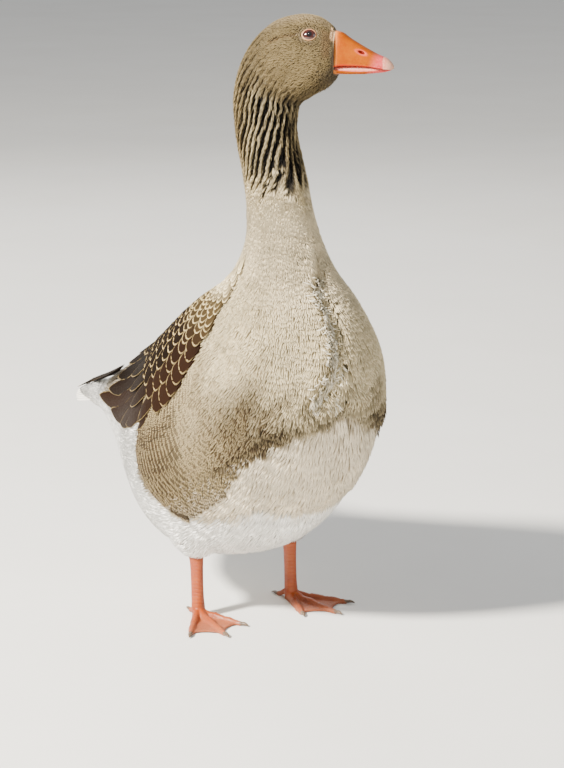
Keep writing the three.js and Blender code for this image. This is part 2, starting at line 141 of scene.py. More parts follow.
print("bill root:", body_point(22, 0).round(3), "tail root:", body_point(0, 0).round(3))

# %% [markdown]
# ## Folds of the plumage
# A goose's coat isn't one smooth surface. The breast parts along a crease, the feathers of the
# flank end in a rounded edge in front of the white hindquarters, the breast hangs a little over
# the belly, and the thighs swell the sides. These folds are small raises and dips, in
# millimetres, that are added to the smooth form before anything grows on it.
# %% Grid of places, and the two small creases
STEP_S, STEP_V = 0.02, 1.0
grid_s = np.arange(TAIL_END, BILL_ROOT + STEP_S / 2, STEP_S)
grid_v = np.arange(-180, 180 + STEP_V / 2, STEP_V)
S, V = np.meshgrid(grid_s, grid_v, indexing="ij")
# runs of places (section, angle): the crease of the breast, and the one behind the eye
CREASE = np.array([(10.46, 164), (10.02, 178), (9.76, 191), (9.38, 190), (8.96, 187),
                   (8.66, 187), (8.3, 192), (8.0, 199), (7.8, 204)], float)
BROW = np.array([(18.85, 54.5), (18.65, 53.6), (18.4, 52.5), (18.1, 51), (17.7, 48.5)], float)
print("grid of the form:", S.shape)


# %% Edges of the flank, the breast and the wing
def side_of(v):
    """Angle from the back, 0 to 180 degrees, the same on both sides."""
    return np.abs((np.asarray(v, float) + 180) % 360 - 180)


def smooth(value):
    """0 below 0, 1 above 1 and an even slope between."""
    value = np.clip(value, 0, 1)
    return value * value * (3 - 2 * value)


def flank_rear(v):
    """Section where the flank's feathers end, for an angle from the back."""
    return np.interp(np.abs(v), [60, 74, 84, 94, 105, 114, 126, 150],
                     [4.6, 4.2, 3.9, 3.95, 4.2, 4.5, 5.1, 6.2])


def breast_end(v):
    """Section where the shaggy breast ends above the belly."""
    return np.interp(np.abs(v), [100, 114, 123, 130, 140, 148, 166, 180],
                     [4.9, 5.9, 6.66, 7.1, 7.42, 7.56, 7.78, 7.98])


def wing_top(s):
    """Angle of the folded wing's upper edge."""
    return 10 + 24 * smooth((s - 7.6) / 1.5)


def wing_low(s):
    """Angle of the folded wing's lower edge."""
    return 74 - 20 * smooth((s - 5.6) / 3.2) - 22 * smooth((3.8 - s) / 3.6)


print("folded wing over the legs, from and to (degrees):", wing_top(4), wing_low(4))


# %% Directions and distances on a grid
def surface_frames(points):
    """Scale along and around, unit directions and outward normals of a grid of points."""
    along = np.gradient(points, STEP_S, axis=0)
    ring = points[:, :-1]
    around = (np.roll(ring, -1, axis=1) - np.roll(ring, 1, axis=1)) / (2 * STEP_V)
    around = np.concatenate([around, around[:, :1]], axis=1)
    size_s = np.linalg.norm(along, axis=-1)
    size_v = np.linalg.norm(around, axis=-1)
    normal = np.cross(along, around)
    normal /= np.linalg.norm(normal, axis=-1, keepdims=True)
    return size_s, size_v, along / size_s[..., None], around / size_v[..., None], normal


def near_path(points, path, width):
    """A bell-shaped share, 1 on a run of places on the form; width in millimetres."""
    fine = np.linspace(0, len(path) - 1, 60)
    knots = np.arange(len(path))
    line = body_point(np.interp(fine, knots, path[:, 0]), np.interp(fine, knots, path[:, 1]))
    band = np.abs(grid_s - path[:, 0].mean()) < np.ptp(path[:, 0]) / 2 + 1.2
    nearest = np.full(points.shape[:2], 1e9)
    for place in line:
        nearest[band] = np.minimum(nearest[band], np.linalg.norm(points[band] - place, axis=-1))
    return np.exp(-(nearest / MM / width) ** 2)


print("measuring tools ready")

# %% Thighs
THIGHS = [  # left, forward, up, half width, half depth
    (60, -6, 152, 36, 54), (62, -7, 126, 37, 52), (64, -7, 104, 34, 44),
    (65, -6, 88, 26, 32), (65, -4, 77, 17, 21), (65, -3, 72.5, 10.5, 13)]
STANCE = {1: 2, -1: -8}     # how far the left and the right foot are set forward, mm
HIGHEST_BULGE = 30


def thigh_reach(points, normals):
    """How far out along the normals the thighs reach, in millimetres."""
    table = np.array(sorted(THIGHS, key=lambda row: row[2]), float)
    reach = np.zeros(points.shape[:2])
    for step in np.arange(1, HIGHEST_BULGE, 1.0):
        probe = (points + normals * step * MM) / MM
        for side in (1, -1):
            left, ahead, wide, deep = (np.interp(probe[..., 2], table[:, 2], table[:, k]) for k in (0, 1, 3, 4))
            across = (probe[..., 0] - side * left) / wide
            forward = (-probe[..., 1] + MIDDLE - ahead - STANCE[side]) / deep
            inside = (across ** 2 + forward ** 2 < 1) & (probe[..., 2] > 73) & (probe[..., 2] < 150)
            reach = np.where(inside, step, reach)
    return reach


def soften(values, passes):
    """A grid of values, each drawn towards its neighbours' a number of times."""
    for _ in range(passes):
        values = (np.roll(values, 1, 0) + np.roll(values, -1, 0) + 2 * values) / 4
        values = (np.roll(values, 1, 1) + np.roll(values, -1, 1) + 2 * values) / 4
    return values


plain = body_point(S, V)
scale_s, _, _, _, plain_normal = surface_frames(plain)
bulge = np.zeros_like(S)
band = (grid_s > 2.5) & (grid_s < 6.5)
bulge[band] = thigh_reach(plain[band], plain_normal[band])
print("thighs stand out by up to", bulge.max(), "mm")


# %% Raises and dips
def step_down(edge, height, slope, run):
    """A step at a line of sections, which fades out tailwards; all in millimetres."""
    behind = (edge - S) * scale_s / MM
    return -height * smooth(behind / slope) * np.exp(-np.maximum(behind, 0) / run)


relief = -np.interp(S, [7.8, 8.6, 9.3, 9.9, 10.4, 10.7], [6, 8, 12, 12, 6, 0]) * near_path(plain, CREASE, 9)
relief += 4 * near_path(plain, CREASE + (0, 14), 12)
for side in (1, -1):
    relief -= 2.0 * near_path(plain, BROW * (1, side), 1.8)
    relief += 1.2 * near_path(plain, (BROW - (0, 9)) * (1, side), 4)
relief += step_down(flank_rear(V), 5, 7, 70) * smooth((np.abs(V) - 66) / 8)
relief += step_down(breast_end(V), 4, 9, 50) * smooth((np.abs(V) - 108) / 12)
relief += soften(bulge, 4)
folded = plain + plain_normal * relief[..., None] * MM
scale_s, scale_v, unit_s, unit_v, unit_n = surface_frames(folded)
table = np.concatenate([folded, unit_n, unit_s, unit_v, scale_s[..., None], scale_v[..., None]], -1)
print("folds from", round(float(relief.min()), 1), "to", round(float(relief.max()), 1), "mm")

# %% [markdown]
# The folded form is kept as a fine table, so that hundreds of thousands of places on it can be
# read at once.
# %% Read the folded form
def form_at(s, v):
    """Point, normal, direction along, direction around, scale along and scale around."""
    row = (np.clip(s, TAIL_END, BILL_ROOT) - TAIL_END) / STEP_S
    column = ((np.asarray(v) + 180) % 360) / STEP_V
    i = np.clip(row.astype(int), 0, len(grid_s) - 2)
    j = np.clip(column.astype(int), 0, len(grid_v) - 2)
    a, b = (row - i)[..., None], (column - j)[..., None]
    value = between(between(table[i, j], table[i + 1, j], a),
                    between(table[i, j + 1], table[i + 1, j + 1], a), b)
    return (*(value[..., k:k + 3] for k in (0, 3, 6, 9)), value[..., 12], value[..., 13])


print("tip of the breast:", form_at(np.array(8.0), np.array(180.0))[0].round(3))


# %% Depth of the coat, and ripples
def coat_depth(s):
    """How far the skin lies inside the outline of the plumage, in metres."""
    return MM * np.interp(s, [-5, -3, 0, 4, 8, 9.5, 11.6, 16, 17.2, 20, 22],
                          [1, 2.5, 5, 6.5, 6.5, 5.5, 4.2, 3.8, 2.2, 1.7, 1.0])


WAVES = 7


def wave_noise(points, size, seed):
    """A gentle random ripple over space, about -1 to 1, with features of the given size."""
    random = np.random.default_rng(seed)
    total = 0
    for _ in range(WAVES):
        direction = random.normal(size=3)
        direction *= random.uniform(0.6, 1.5) / np.linalg.norm(direction)
        total = total + np.sin(points @ direction * (2 * math.pi / size) + random.uniform(0, 6.3))
    return total / math.sqrt(WAVES)


print("coat depth on body, neck, head (mm):", [round(float(coat_depth(s)) / MM, 1) for s in (5, 11, 20)])

# %% [markdown]
# ## Camera and light
# The goose is seen from its right side and a little in front, from just above its head. Soft
# light from all sides would be the easiest, but it hides a coat. So one warm lamp stands high on
# the left of the view, and is small enough for the furrows of the neck and the edges of the
# feathers to cast shadows. A weak cool lamp opens the shaded side, and one behind draws the back.
# %% Camera
camera_data = bpy.data.cameras.new("camera")
camera_data.lens, camera_data.sensor_width, camera_data.clip_start = 112.5, 36, 0.1
camera = bpy.data.objects.new("camera", camera_data)
camera.location = (-1.5625, -2.4021, 0.9450)
camera.rotation_euler = (math.radians(90 - 13.4), 0, math.radians(-35))
bpy.context.collection.objects.link(camera)
bpy.context.scene.camera = camera
print("camera stands", round(camera.location.length, 2), "m away")

# %% Lamps and the pale room
CHEST = Vector((0, -0.05, 0.4))


def add_lamp(name, place, size, power, colour):
    """A round lamp aimed at the goose's chest; size in metres, power in watts."""
    data = bpy.data.lights.new(name, "AREA")
    data.shape, data.size, data.energy, data.color = "DISK", size, power, colour
    lamp = bpy.data.objects.new(name, data)
    lamp.location = place
    lamp.rotation_euler = (CHEST - Vector(place)).to_track_quat("-Z", "Y").to_euler()
    bpy.context.collection.objects.link(lamp)


add_lamp("key_lamp", (-3.3, -0.1, 2.9), 0.55, 900, (1.0, 0.955, 0.87))
add_lamp("fill_lamp", (1.6, -3.0, 1.4), 2.4, 34, (0.88, 0.94, 1.0))
add_lamp("back_lamp", (1.2, 2.6, 2.2), 2.0, 45, (1.0, 0.98, 0.95))
world = bpy.data.worlds.new("pale_room")
bpy.context.scene.world = world
world.use_nodes = True
air = world.node_tree.nodes["Background"].inputs
air["Color"].default_value, air["Strength"].default_value = (0.86, 0.89, 0.93, 1), 0.6
print("lamps:", ", ".join(light.name for light in bpy.data.lights))

# %% [markdown]
# ## Writing materials
# Each finish is a small network of nodes. Writing the links by hand is long, so a short helper
# adds a node, sets its values and links its inputs in one line.
# %% A short way to write nodes
def linear(red, green, blue):
    """A colour given in the usual 0 to 255 numbers, as linear light."""
    def one(c):
        c = c / 255
        return c / 12.92 if c <= 0.04045 else ((c + 0.055) / 1.055) ** 2.4
    return np.array([one(red), one(green), one(blue)])


class Network:
    """The nodes of one material or group."""

    def __init__(self, tree):
        self.tree = tree

    def node(self, kind, values=(), **settings):
        made = self.tree.nodes.new(kind)
        for key, value in settings.items():
            setattr(made, key, value)
        for socket, value in dict(values).items():
            self.put(made.inputs[socket], value)
        return made

    def put(self, socket, value):
        if isinstance(value, bpy.types.NodeSocket):
            self.tree.links.new(value, socket)
        elif socket.type == "RGBA":
            socket.default_value = (*value[:3], 1)
        else:
            socket.default_value = value

    def math(self, operation, a, b=0.0):
        return self.node("ShaderNodeMath", {0: a, 1: b}, operation=operation).outputs[0]

    def plus(self, a, b):
        return self.math("ADD", a, b)

    def less(self, a, b):
        return self.math("SUBTRACT", a, b)

    def times(self, a, b):
        return self.math("MULTIPLY", a, b)

    def rest(self, share):
        """What is left of a share."""
        return self.less(1.0, share)

    def ramp(self, value, low, high, to_low=0.0, to_high=1.0):
        made = self.node("ShaderNodeMapRange", {"Value": value, "From Min": low, "From Max": high,
                                                "To Min": to_low, "To Max": to_high},
                         interpolation_type="SMOOTHSTEP")
        return made.outputs[0]

    def mix(self, share, a, b, blend="MIX"):
        made = self.node("ShaderNodeMix", data_type="RGBA", blend_type=blend)
        for socket, value in zip((made.inputs[0], made.inputs[6], made.inputs[7]), (share, a, b)):
            self.put(socket, value)
        return made.outputs[2]

    def dim(self, colour, value):
        """A colour darkened by a value."""
        grey = self.node("ShaderNodeCombineColor", {0: value, 1: value, 2: value}).outputs[0]
        return self.mix(1.0, colour, grey, "MULTIPLY")

    def read(self, name, output="Fac"):
        return self.node("ShaderNodeAttribute", attribute_name=name).outputs[output]

    def noise(self, scale, detail, rough, vector):
        values = {"Scale": scale, "Detail": detail, "Roughness": rough, "Vector": vector}
        return self.node("ShaderNodeTexNoise", values).outputs["Fac"]

    def place(self):
        return self.node("ShaderNodeTexCoord").outputs["Object"]


print("node helpers:", [name for name in vars(Network) if name[0] != "_"])


# %% Groups and materials
def new_group(name, inputs, outputs):
    """An empty node group with named sockets, ready for nodes."""
    tree = bpy.data.node_groups.new(name, "ShaderNodeTree")
    for direction, sockets in (("INPUT", inputs), ("OUTPUT", outputs)):
        for socket, kind in sockets:
            tree.interface.new_socket(name=socket, in_out=direction, socket_type="NodeSocket" + kind)
    net = Network(tree)
    return net, net.node("NodeGroupInput").outputs, net.node("NodeGroupOutput").inputs


def new_material(name, roughness, **shader_values):
    """A material with one Principled shader; returns it with its network and shader."""
    material = bpy.data.materials.new(name)
    material.use_nodes = True
    net = Network(material.node_tree)
    shader = material.node_tree.nodes["Principled BSDF"]
    shader.inputs["Roughness"].default_value = roughness
    for key, value in shader_values.items():
        shader.inputs[key.replace("_", " ")].default_value = value
    return material, net, shader


def use_group(net, group, **values):
    """Places a finished group and sets or links its inputs."""
    made = net.node("ShaderNodeGroup", node_tree=group)
    for key, value in values.items():
        net.put(made.inputs[key.replace("_", " ")], value)
    return made.outputs


def bump(net, shader, height, strength, distance):
    """Lets a height disturb the light; distance in metres."""
    made = net.node("ShaderNodeBump", {"Strength": strength, "Distance": distance, "Height": height})
    net.put(shader.inputs["Normal"], made.outputs[0])


print("groups and materials can be made")

# %% [markdown]
# ## Building meshes
# Every piece is one mesh made from arrays of points, because a coat has far too many feathers
# to place one object at a time. A piece can carry extra values at its points, such as how far
# along its feather a point is, for its material to read.
# %% Make a mesh from arrays
def make_piece(name, points, polygons, nodes, material, values=(), places=None):
    """A mesh object from points and lists of equal-sided polygons, riding on the goose."""
    mesh = bpy.data.meshes.new(name)
    corners = np.concatenate([np.asarray(p, np.int32).ravel() for p in polygons])
    sizes = np.concatenate([np.full(len(p), np.shape(p)[1], np.int32) for p in polygons])
    mesh.vertices.add(len(points))
    mesh.vertices.foreach_set("co", np.asarray(points, np.float32).ravel())
    mesh.loops.add(len(corners))
    mesh.loops.foreach_set("vertex_index", corners)
    mesh.polygons.add(len(sizes))
    mesh.polygons.foreach_set("loop_start", (np.cumsum(sizes) - sizes).astype(np.int32))
    mesh.polygons.foreach_set("loop_total", sizes)
    for key, data in dict(values).items():
        data = np.asarray(data, np.float32)
        if data.ndim == 2:
            layer = mesh.attributes.new(key, "FLOAT_COLOR", "POINT")
            data = np.concatenate([data, np.ones((len(data), 1), np.float32)], 1)
            layer.data.foreach_set("color", data.ravel())
        else:
            mesh.attributes.new(key, "FLOAT", "POINT").data.foreach_set("value", data)
    if places is not None:
        layer = mesh.uv_layers.new(name="OFBake")
        layer.data.foreach_set("uv", np.clip(places, 0, 1).astype(np.float32)[corners].ravel())
    mesh.update(calc_edges=True)
    mesh.validate()
    mesh.polygons.foreach_set("use_smooth", np.ones(len(mesh.polygons), bool))
    mesh.materials.append(material)
    piece = bpy.data.objects.new(name, mesh)
    bpy.context.collection.objects.link(piece)
    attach(piece, "root")
    if nodes:
        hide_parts(*nodes)
    print(f"{name}: {(sizes - 2).sum()} triangles")


# %% Faces of a tube
def ring_squares(rings, columns):
    """Corner numbers of the squares between closed rings of points."""
    i, j = np.meshgrid(np.arange(rings - 1) * columns, np.arange(columns), indexing="ij")
    k = (j + 1) % columns
    return np.stack([i + j, i + columns + j, i + columns + k, i + k], -1).reshape(-1, 4)


def capped(rings, columns):
    """The same squares, with a polygon over each end."""
    first, last = np.arange(columns)[None, ::-1], np.arange((rings - 1) * columns, rings * columns)[None]
    return [ring_squares(rings, columns), first, last]


print("a tube of 3 rings of 4 points has", len(ring_squares(3, 4)), "squares")

# %% [markdown]
# ## Markings
# The skin and every feather take their colour from one rule about where they are on the bird:
# an olive brown head, a neck whose furrows are dark between pale ridges, a pale lower neck, a
# greyish breast, barred brown flanks, and white behind. Each place has two colours, the ground
# of its feathers and the paler fringe round their ends. Some of the dark is painted shade: under
# the jaw, down the front of the neck, along the crease behind the eye, and part of the dark low
# on the breast and in the furrows.
# %% Colours by place
TINTS = {name: np.array([linear(*ground), linear(*fringe)]) for name, ground, fringe in [
    ("breast", (182, 166, 130), (216, 201, 166)),
    ("low_neck", (204, 188, 154), (215, 200, 167)),
    ("high_neck", (130, 114, 83), (184, 167, 130)),
    ("head", (90, 76, 49), (110, 95, 66)),
    ("crown", (106, 91, 66), (124, 109, 82)),
    ("lores", (88, 70, 44), (108, 88, 60)),
    ("bill_edge", (206, 166, 122), (226, 192, 156)),
    ("chin", (78, 65, 42), (146, 130, 102)),
    ("low_breast", (54, 43, 28), (112, 98, 71)),
    ("nape", (96, 80, 54), (140, 122, 86)),
    ("flank", (58, 43, 26), (172, 153, 114)),
    ("belly", (206, 190, 160), (228, 216, 194)),
    ("white", (240, 237, 230), (250, 248, 243)),
    ("mantle", (96, 80, 58), (186, 168, 134)),
    ("rump", (116, 106, 92), (156, 146, 130)),
]}


def furrow_strength(s, v, points):
    """1 where the neck is furrowed, fading to 0 at the cheek and at the lower neck."""
    side = side_of(v)
    top = np.interp(side, [0, 40, 72, 110, 144, 180], [16.7, 16.5, 16.2, 16.2, 16.6, 16.8])
    bottom = np.interp(side, [0, 60, 90, 110, 130, 150, 175], [11.5, 11.25, 11.3, 11.5, 11.7, 11.6, 11.25])
    ragged = 0.2 * wave_noise(points, 0.022, 5) + 0.26 * wave_noise(points, 0.008, 6)
    return smooth((s - bottom + 0.2 + ragged) / 0.9) * (1 - smooth((s - top + 0.5 + ragged) / 1.9))


def markings(s, v, points):
    """Ground and fringe colour of each place on the bird, as two arrays of linear colours."""
    side = side_of(v)
    ragged = 0.16 * wave_noise(points, 0.03, 3)
    lower_side = smooth((side - 62) / 8)
    behind = smooth((flank_rear(side) - s) / 0.14)
    to_flank = smooth((7.8 - s + 1.5 * ragged) / 1.4) * 0.75 + smooth((6.2 - s) / 1.5) * 0.25
    areas = [
        ("mantle", smooth((9.3 - s) / 1.6) * (1 - smooth((side - 30) / 30))),
        # the lower breast is browner, and is painted darker still as shade under the bulge of the breast
        ("low_breast", smooth((side - 84) / 28) * smooth((8.7 - s + 1.5 * ragged) / 1.5)),
        ("flank", to_flank * lower_side * (1 - smooth((side - 112) / 20))),
        ("flank", 0.45 * np.exp(-((side - wing_low(s) - 3) / 8) ** 2) * smooth((9.0 - s) / 1.2)),
        ("belly", smooth((breast_end(side) - s) / 0.16) * smooth((side - 108) / 10)),
        ("rump", smooth((4.5 - s) / 1.5) * (1 - smooth((side - 50) / 20))),
        ("white", behind * lower_side),
        ("white", smooth((1.0 - s) / 0.3)),
        ("low_neck", smooth((s - 8.9) / 1.1)),
        ("high_neck", 0.25 * smooth((s - 11.0) / 0.6)
         + 0.75 * furrow_strength(np.minimum(s, 14), v, points)),
        ("nape", smooth((s - 12.0) / 1.2) * (1 - smooth((side - 50) / 45))),
        # painted shade down the front of the upper neck, the side of the throat turned from the light
        ("nape", 0.7 * smooth((side - 128) / 30) * smooth((s - 11.9) / 0.8)),
        ("head", smooth((s - 15.5 + ragged) / 1.1)),
        ("crown", smooth((s - 17.2) / 1.4) * (1 - smooth((side - 18) / 22))),
        ("lores", smooth((s - 20.4) / 0.6) * smooth((side - 34) / 14) * (1 - smooth((side - 88) / 14))
         * (1 - smooth((s - 21.55) / 0.25))),
        # painted shadow under the jaw, where the head shades the throat
        ("chin", smooth((s - 19.4) / 1.6) * smooth((side - 112) / 16)),
        ("chin", smooth((s - 21.5) / 0.2) * smooth((side - 70) / 12)),
        # painted shade: a dark line along the crease behind the eye
        ("lores", 0.8 * np.exp(-((side - np.interp(s, BROW[::-1, 0], BROW[::-1, 1])) / 2.2) ** 2)
         * smooth((s - 17.6) / 0.3) * (1 - smooth((s - 18.9) / 0.3))),
        ("bill_edge", smooth((s - 21.5) / 0.25) * smooth((side - 12) / 8) * (1 - smooth((side - 50) / 12))),
    ]
    colour = np.broadcast_to(TINTS["breast"], (*np.shape(s), 2, 3)).copy()
    for name, share in areas:
        colour = between(colour, TINTS[name], np.asarray(share)[..., None, None])
    mottle = 1 + 0.07 * wave_noise(points, 0.055, 11) + 0.05 * wave_noise(points, 0.017, 12)
    colour = colour * mottle[..., None, None]
    return colour[..., 0, :], colour[..., 1, :]


print("areas of colour:", ", ".join(TINTS))

# %% [markdown]
# ## Furrows of the neck
# The plumage of a goose's upper neck stands in narrow ridges with dark furrows between them.
# The dark of a furrow is partly its brown down and partly painted shade.
# They lean from the throat down towards the nape. A phase that grows by one from ridge to ridge
# says where the ridges are, and a little noise makes them fork and wander.
# %% Ridges and grooves
FURROWS = 30
LEAN_SECTIONS = [11.2, 12.2, 13.2, 14, 15, 16.5, 17.5]
LEAN_ANGLES = [0, 60, 95, 120, 140, 180]
LEAN = np.array([      # degrees by which a ridge has shifted since section 14, for each angle
    (-30, -48, -50, -42, -22, 14), (-12, -20, -20, -18, -15, 4), (-5, -9, -8, -5, -5, 0),
    (0, 0, 0, 0, 0, 0), (2, 3, 2, 0, 1, 0), (8, 16, 5, -4, -12, -4), (14, 22, 6, -7, -16, -4)], float)


def furrow_phase(s, v):
    """Grows by one from ridge to ridge; also its place on a plane that runs with the ridges."""
    s, v = np.broadcast_arrays(np.asarray(s, float), np.asarray(v, float))
    side = side_of(v)
    columns = np.stack([np.interp(s, LEAN_SECTIONS, column) for column in LEAN.T], -1)
    cell = np.interp(side, LEAN_ANGLES, np.arange(len(LEAN_ANGLES)))
    first = np.clip(cell.astype(int), 0, len(LEAN_ANGLES) - 2)
    lower, upper = (np.take_along_axis(columns, first[..., None] + k, -1)[..., 0] for k in (0, 1))
    drift = between(lower, upper, cell - first)
    count = FURROWS * (side - drift) / 360
    plane = np.stack([s * 0.9, count * 0.5, 0.8 * np.sin(np.radians(v))], -1)
    return count + 0.28 * wave_noise(plane, 2.2, 21) + 0.06 * wave_noise(plane, 0.9, 22), plane


def ridge_height(s, v):
    """0 in a groove, 1 on a ridge; grooves are broad at the throat and narrow elsewhere."""
    phase, plane = furrow_phase(s, v)
    bias = np.interp(side_of(v), [0, 70, 120, 180], [0.35, 0.15, -0.35, -0.55])
    bias = bias + 0.3 * wave_noise(plane, 1.4, 23) + 1.1 * smooth((12.7 - s) / 1.3)
    return smooth((np.cos(2 * math.pi * phase) + bias + 1) / 2)


def groove_down_and_shade(strength, ridge):
    """How far a place takes the dark of its groove: partly its brown down, partly painted shade."""
    return (strength ** 1.2 * (1 - ridge) ** 0.5)[..., None]


def darkened(tones, strength, ridge):
    """Ground and fringe colours in the grooves, darker partly for their brown down and partly as painted shade.
    """
    return [between(tone, GROOVE_DOWN_AND_SHADE, groove_down_and_shade(strength, ridge)) for tone in tones]


def in_groove(strength, ridge):
    """How far the root and the tip of a plume are raised, in millimetres."""
    return strength * (3.0 * ridge - 1.8), -strength * 3.6 * (1 - ridge) ** 1.2


# dark of the grooves: brown down at their bottoms, and painted shade where the ridges keep out the light
GROOVE_DOWN_AND_SHADE = linear(16, 11, 7)
print("ridges round the neck:", FURROWS)

# %% [markdown]
# ## Skin
# One skin covers the head, neck, trunk, tail root, thighs and the roots of the wings. It lies
# under the outline by the depth of the coat. It is one closed grid over the folded form, so
# there is no seam to hide. The furrows and the rims of the eyes are raised in it.
# %% Lids
EYE = (19.65, 56.0)         # section and angle of the middle of the opening
EYE_OPEN = (7.3, 6.0)       # half width and half height of the opening, mm
EYE_BALL = (8.6, 7.4, 6.0)  # half axes along, up and out, mm
EYE_SUNK = 4.7              # middle of the ball under the outline, mm
LID_PROFILE = [             # reach, as a share of the opening, and height of the rim, mm
    (0.93, -0.5), (0.99, 0.1), (1.02, 0.45), (1.06, 0.65), (1.1, 0.7), (1.15, 0.55), (1.22, 0.35),
    (1.34, 0.15), (1.5, -0.1), (1.75, -0.8), (2.1, -2.0)]
LID_POINTS = 72             # points round each lid


def eye_frame(side):
    """Place of the eye on the outline and its directions forward, up and out."""
    point, out, along, _, _, _ = form_at(np.array(EYE[0]), np.array(side * EYE[1]))
    up = np.array([0, 0, 1.0]) - out * out[2]
    up /= np.linalg.norm(up)
    forward = along - up * (along @ up) - out * (along @ out)
    forward /= np.linalg.norm(forward)
    return point, forward, up, out


def lid_rings(side):
    """Rings of points round one eye, from under the lid's edge out over the skin."""
    point, forward, up, out = eye_frame(side)
    turn = np.linspace(0, 2 * math.pi, LID_POINTS, endpoint=False)
    almond = 1 + 0.05 * np.cos(2 * turn) ** 5
    rings = []
    for reach, rim in LID_PROFILE:
        x = EYE_OPEN[0] * reach * almond * np.cos(turn)
        y = EYE_OPEN[1] * reach * np.sin(turn)
        inside = np.clip(1 - (x / EYE_BALL[0]) ** 2 - (y / EYE_BALL[1]) ** 2, 0, 1)
        ball = np.sqrt(inside) * EYE_BALL[2] - EYE_SUNK
        face = -(x ** 2 / 110 + y ** 2 / 62) * 0.5 - 1.7
        height = between(ball, face, smooth((reach - 1.0) / 0.45)) + rim
        rings.append(point + (np.stack([x, y, height], -1) @ np.stack([forward, up, out])) * MM)
    return np.array(rings)


print("opening of the eye:", EYE_OPEN[0] * 2, "by", EYE_OPEN[1] * 2, "mm")

# %% Skin grid
skin_s = np.concatenate([np.linspace(TAIL_END, 9.5, 110)[:-1], np.linspace(9.5, 16.8, 150)[:-1],
                         np.linspace(16.8, BILL_ROOT, 90)])      # body, neck and head
skin_v = np.linspace(-180, 180, 220, endpoint=False)
SS, VV = np.meshgrid(skin_s, skin_v, indexing="ij")
on_form, outward = form_at(SS, VV)[:2]
strength, ridge = furrow_strength(SS, VV, on_form), ridge_height(SS, VV)
inset = coat_depth(SS) - strength * (2.6 * ridge - 1.6) * MM
skin_points = on_form - outward * inset[..., None]
# painted shade on the skin: a little darker than the markings all over, where the plumes cover it, and much
# darker in the grooves
skin_tone_and_shade = markings(SS, VV, on_form)[0] * (0.92 - 0.86 * groove_down_and_shade(strength, ridge))
for side in (1, -1):
    point, forward, up, out = eye_frame(side)
    local = skin_points - point
    reach = np.hypot(local @ forward / MM / EYE_OPEN[0], local @ up / MM / EYE_OPEN[1])
    near = (reach < 1.75) & (local @ out > -0.02)
    sink = np.where(near, 5.0 * (1 - smooth((reach - 1.25) / 0.5)), 0)
    skin_points = skin_points - outward * (sink * MM)[..., None]
print("skin rows:", len(skin_s), "columns:", len(skin_v))

# %% Ends of the skin, and the lids sewn over it
points = [skin_points.reshape(-1, 3)]
colours = [skin_tone_and_shade.reshape(-1, 3)]
bare = [np.zeros(len(points[0]))]
faces = [ring_squares(len(skin_s), len(skin_v))]
fans = []
for row in (0, len(skin_s) - 1):
    start = row * len(skin_v)
    ring = np.arange(start, start + len(skin_v))
    middle = sum(len(p) for p in points)
    points.append(points[0][ring].mean(0, keepdims=True))
    colours.append(colours[0][ring[:1]])
    bare.append(np.zeros(1))
    fan = np.stack([ring, np.roll(ring, -1), np.full(len(ring), middle)], 1)
    fans.append(fan if row else fan[:, ::-1])
LID_EDGE, LID_PINK, FACE = linear(150, 84, 64), linear(196, 140, 92), linear(100, 84, 54)
LID_TONES = [*[LID_EDGE] * 2, *[LID_PINK] * 3, between(LID_PINK, FACE, 0.5), *[FACE] * 5]
LID_BARE = [1.0] * 7 + [0.3] * 4
for side in (1, -1):
    rings = lid_rings(side)
    start = sum(len(p) for p in points)
    points.append(rings.reshape(-1, 3))
    colours.append(np.repeat(LID_TONES, rings.shape[1], axis=0))
    bare.append(np.repeat(LID_BARE, rings.shape[1]))
    patch = ring_squares(*rings.shape[:2]) + start
    faces.append(patch if side < 0 else patch[:, ::-1])
print("lids of", rings.shape[0], "rings")

# %% Skin finish
skin_material, net, shader = new_material("goose_skin", 0.62)
where = net.place()
pores = net.noise(900, 2, 0.6, where)
folds = net.noise(260, 3, 0.6, where)
tone = net.mix(net.ramp(folds, 0.35, 0.7), net.read("ground", "Color"),
               net.mix(0.3, net.read("ground", "Color"), linear(90, 70, 55)))
net.put(shader.inputs["Base Color"], tone)
net.put(shader.inputs["Roughness"], net.ramp(net.read("bare"), 0, 1, 0.75, 0.45))
bump(net, shader, net.plus(net.times(pores, 0.4), folds), 0.5, 0.0006)
make_piece("skin", np.concatenate(points), [*faces, *fans],
           ["head", "neck_upper", "neck_lower", "trunk", "tail", "wing_left", "wing_right",
            "thigh_left", "thigh_right"], skin_material,
           values={"ground": np.concatenate(colours), "bare": np.concatenate(bare)})

# %% [markdown]
# ## Eyes
# A goose's eye is a dark, wet ball of which the lids show an oval. It can be a sphere with a
# clear outer shell, but a single ball with a gloss coat over a painted iris gives the same look
# and nothing to go wrong. The iris is drawn from the distance to the middle of the pupil.
# %% Eyeballs
BALL_RINGS, BALL_COLUMNS = 28, 48


def ball_points(half, place, axes):
    """A flattened ball whose pole looks outwards, and the distance from its pupil, large behind."""
    slope = np.linspace(0.02, math.pi - 0.02, BALL_RINGS)[:, None]
    turn = np.linspace(0, 2 * math.pi, BALL_COLUMNS, endpoint=False)[None]
    local = np.stack([np.sin(slope) * np.cos(turn), np.sin(slope) * np.sin(turn),
                      np.cos(slope) + 0 * turn], -1).reshape(-1, 3) * half
    away = np.hypot(local[:, 0], local[:, 1]) * np.where(local[:, 2] > 0, 1, 3)
    return place + local @ np.stack(axes) * MM, away


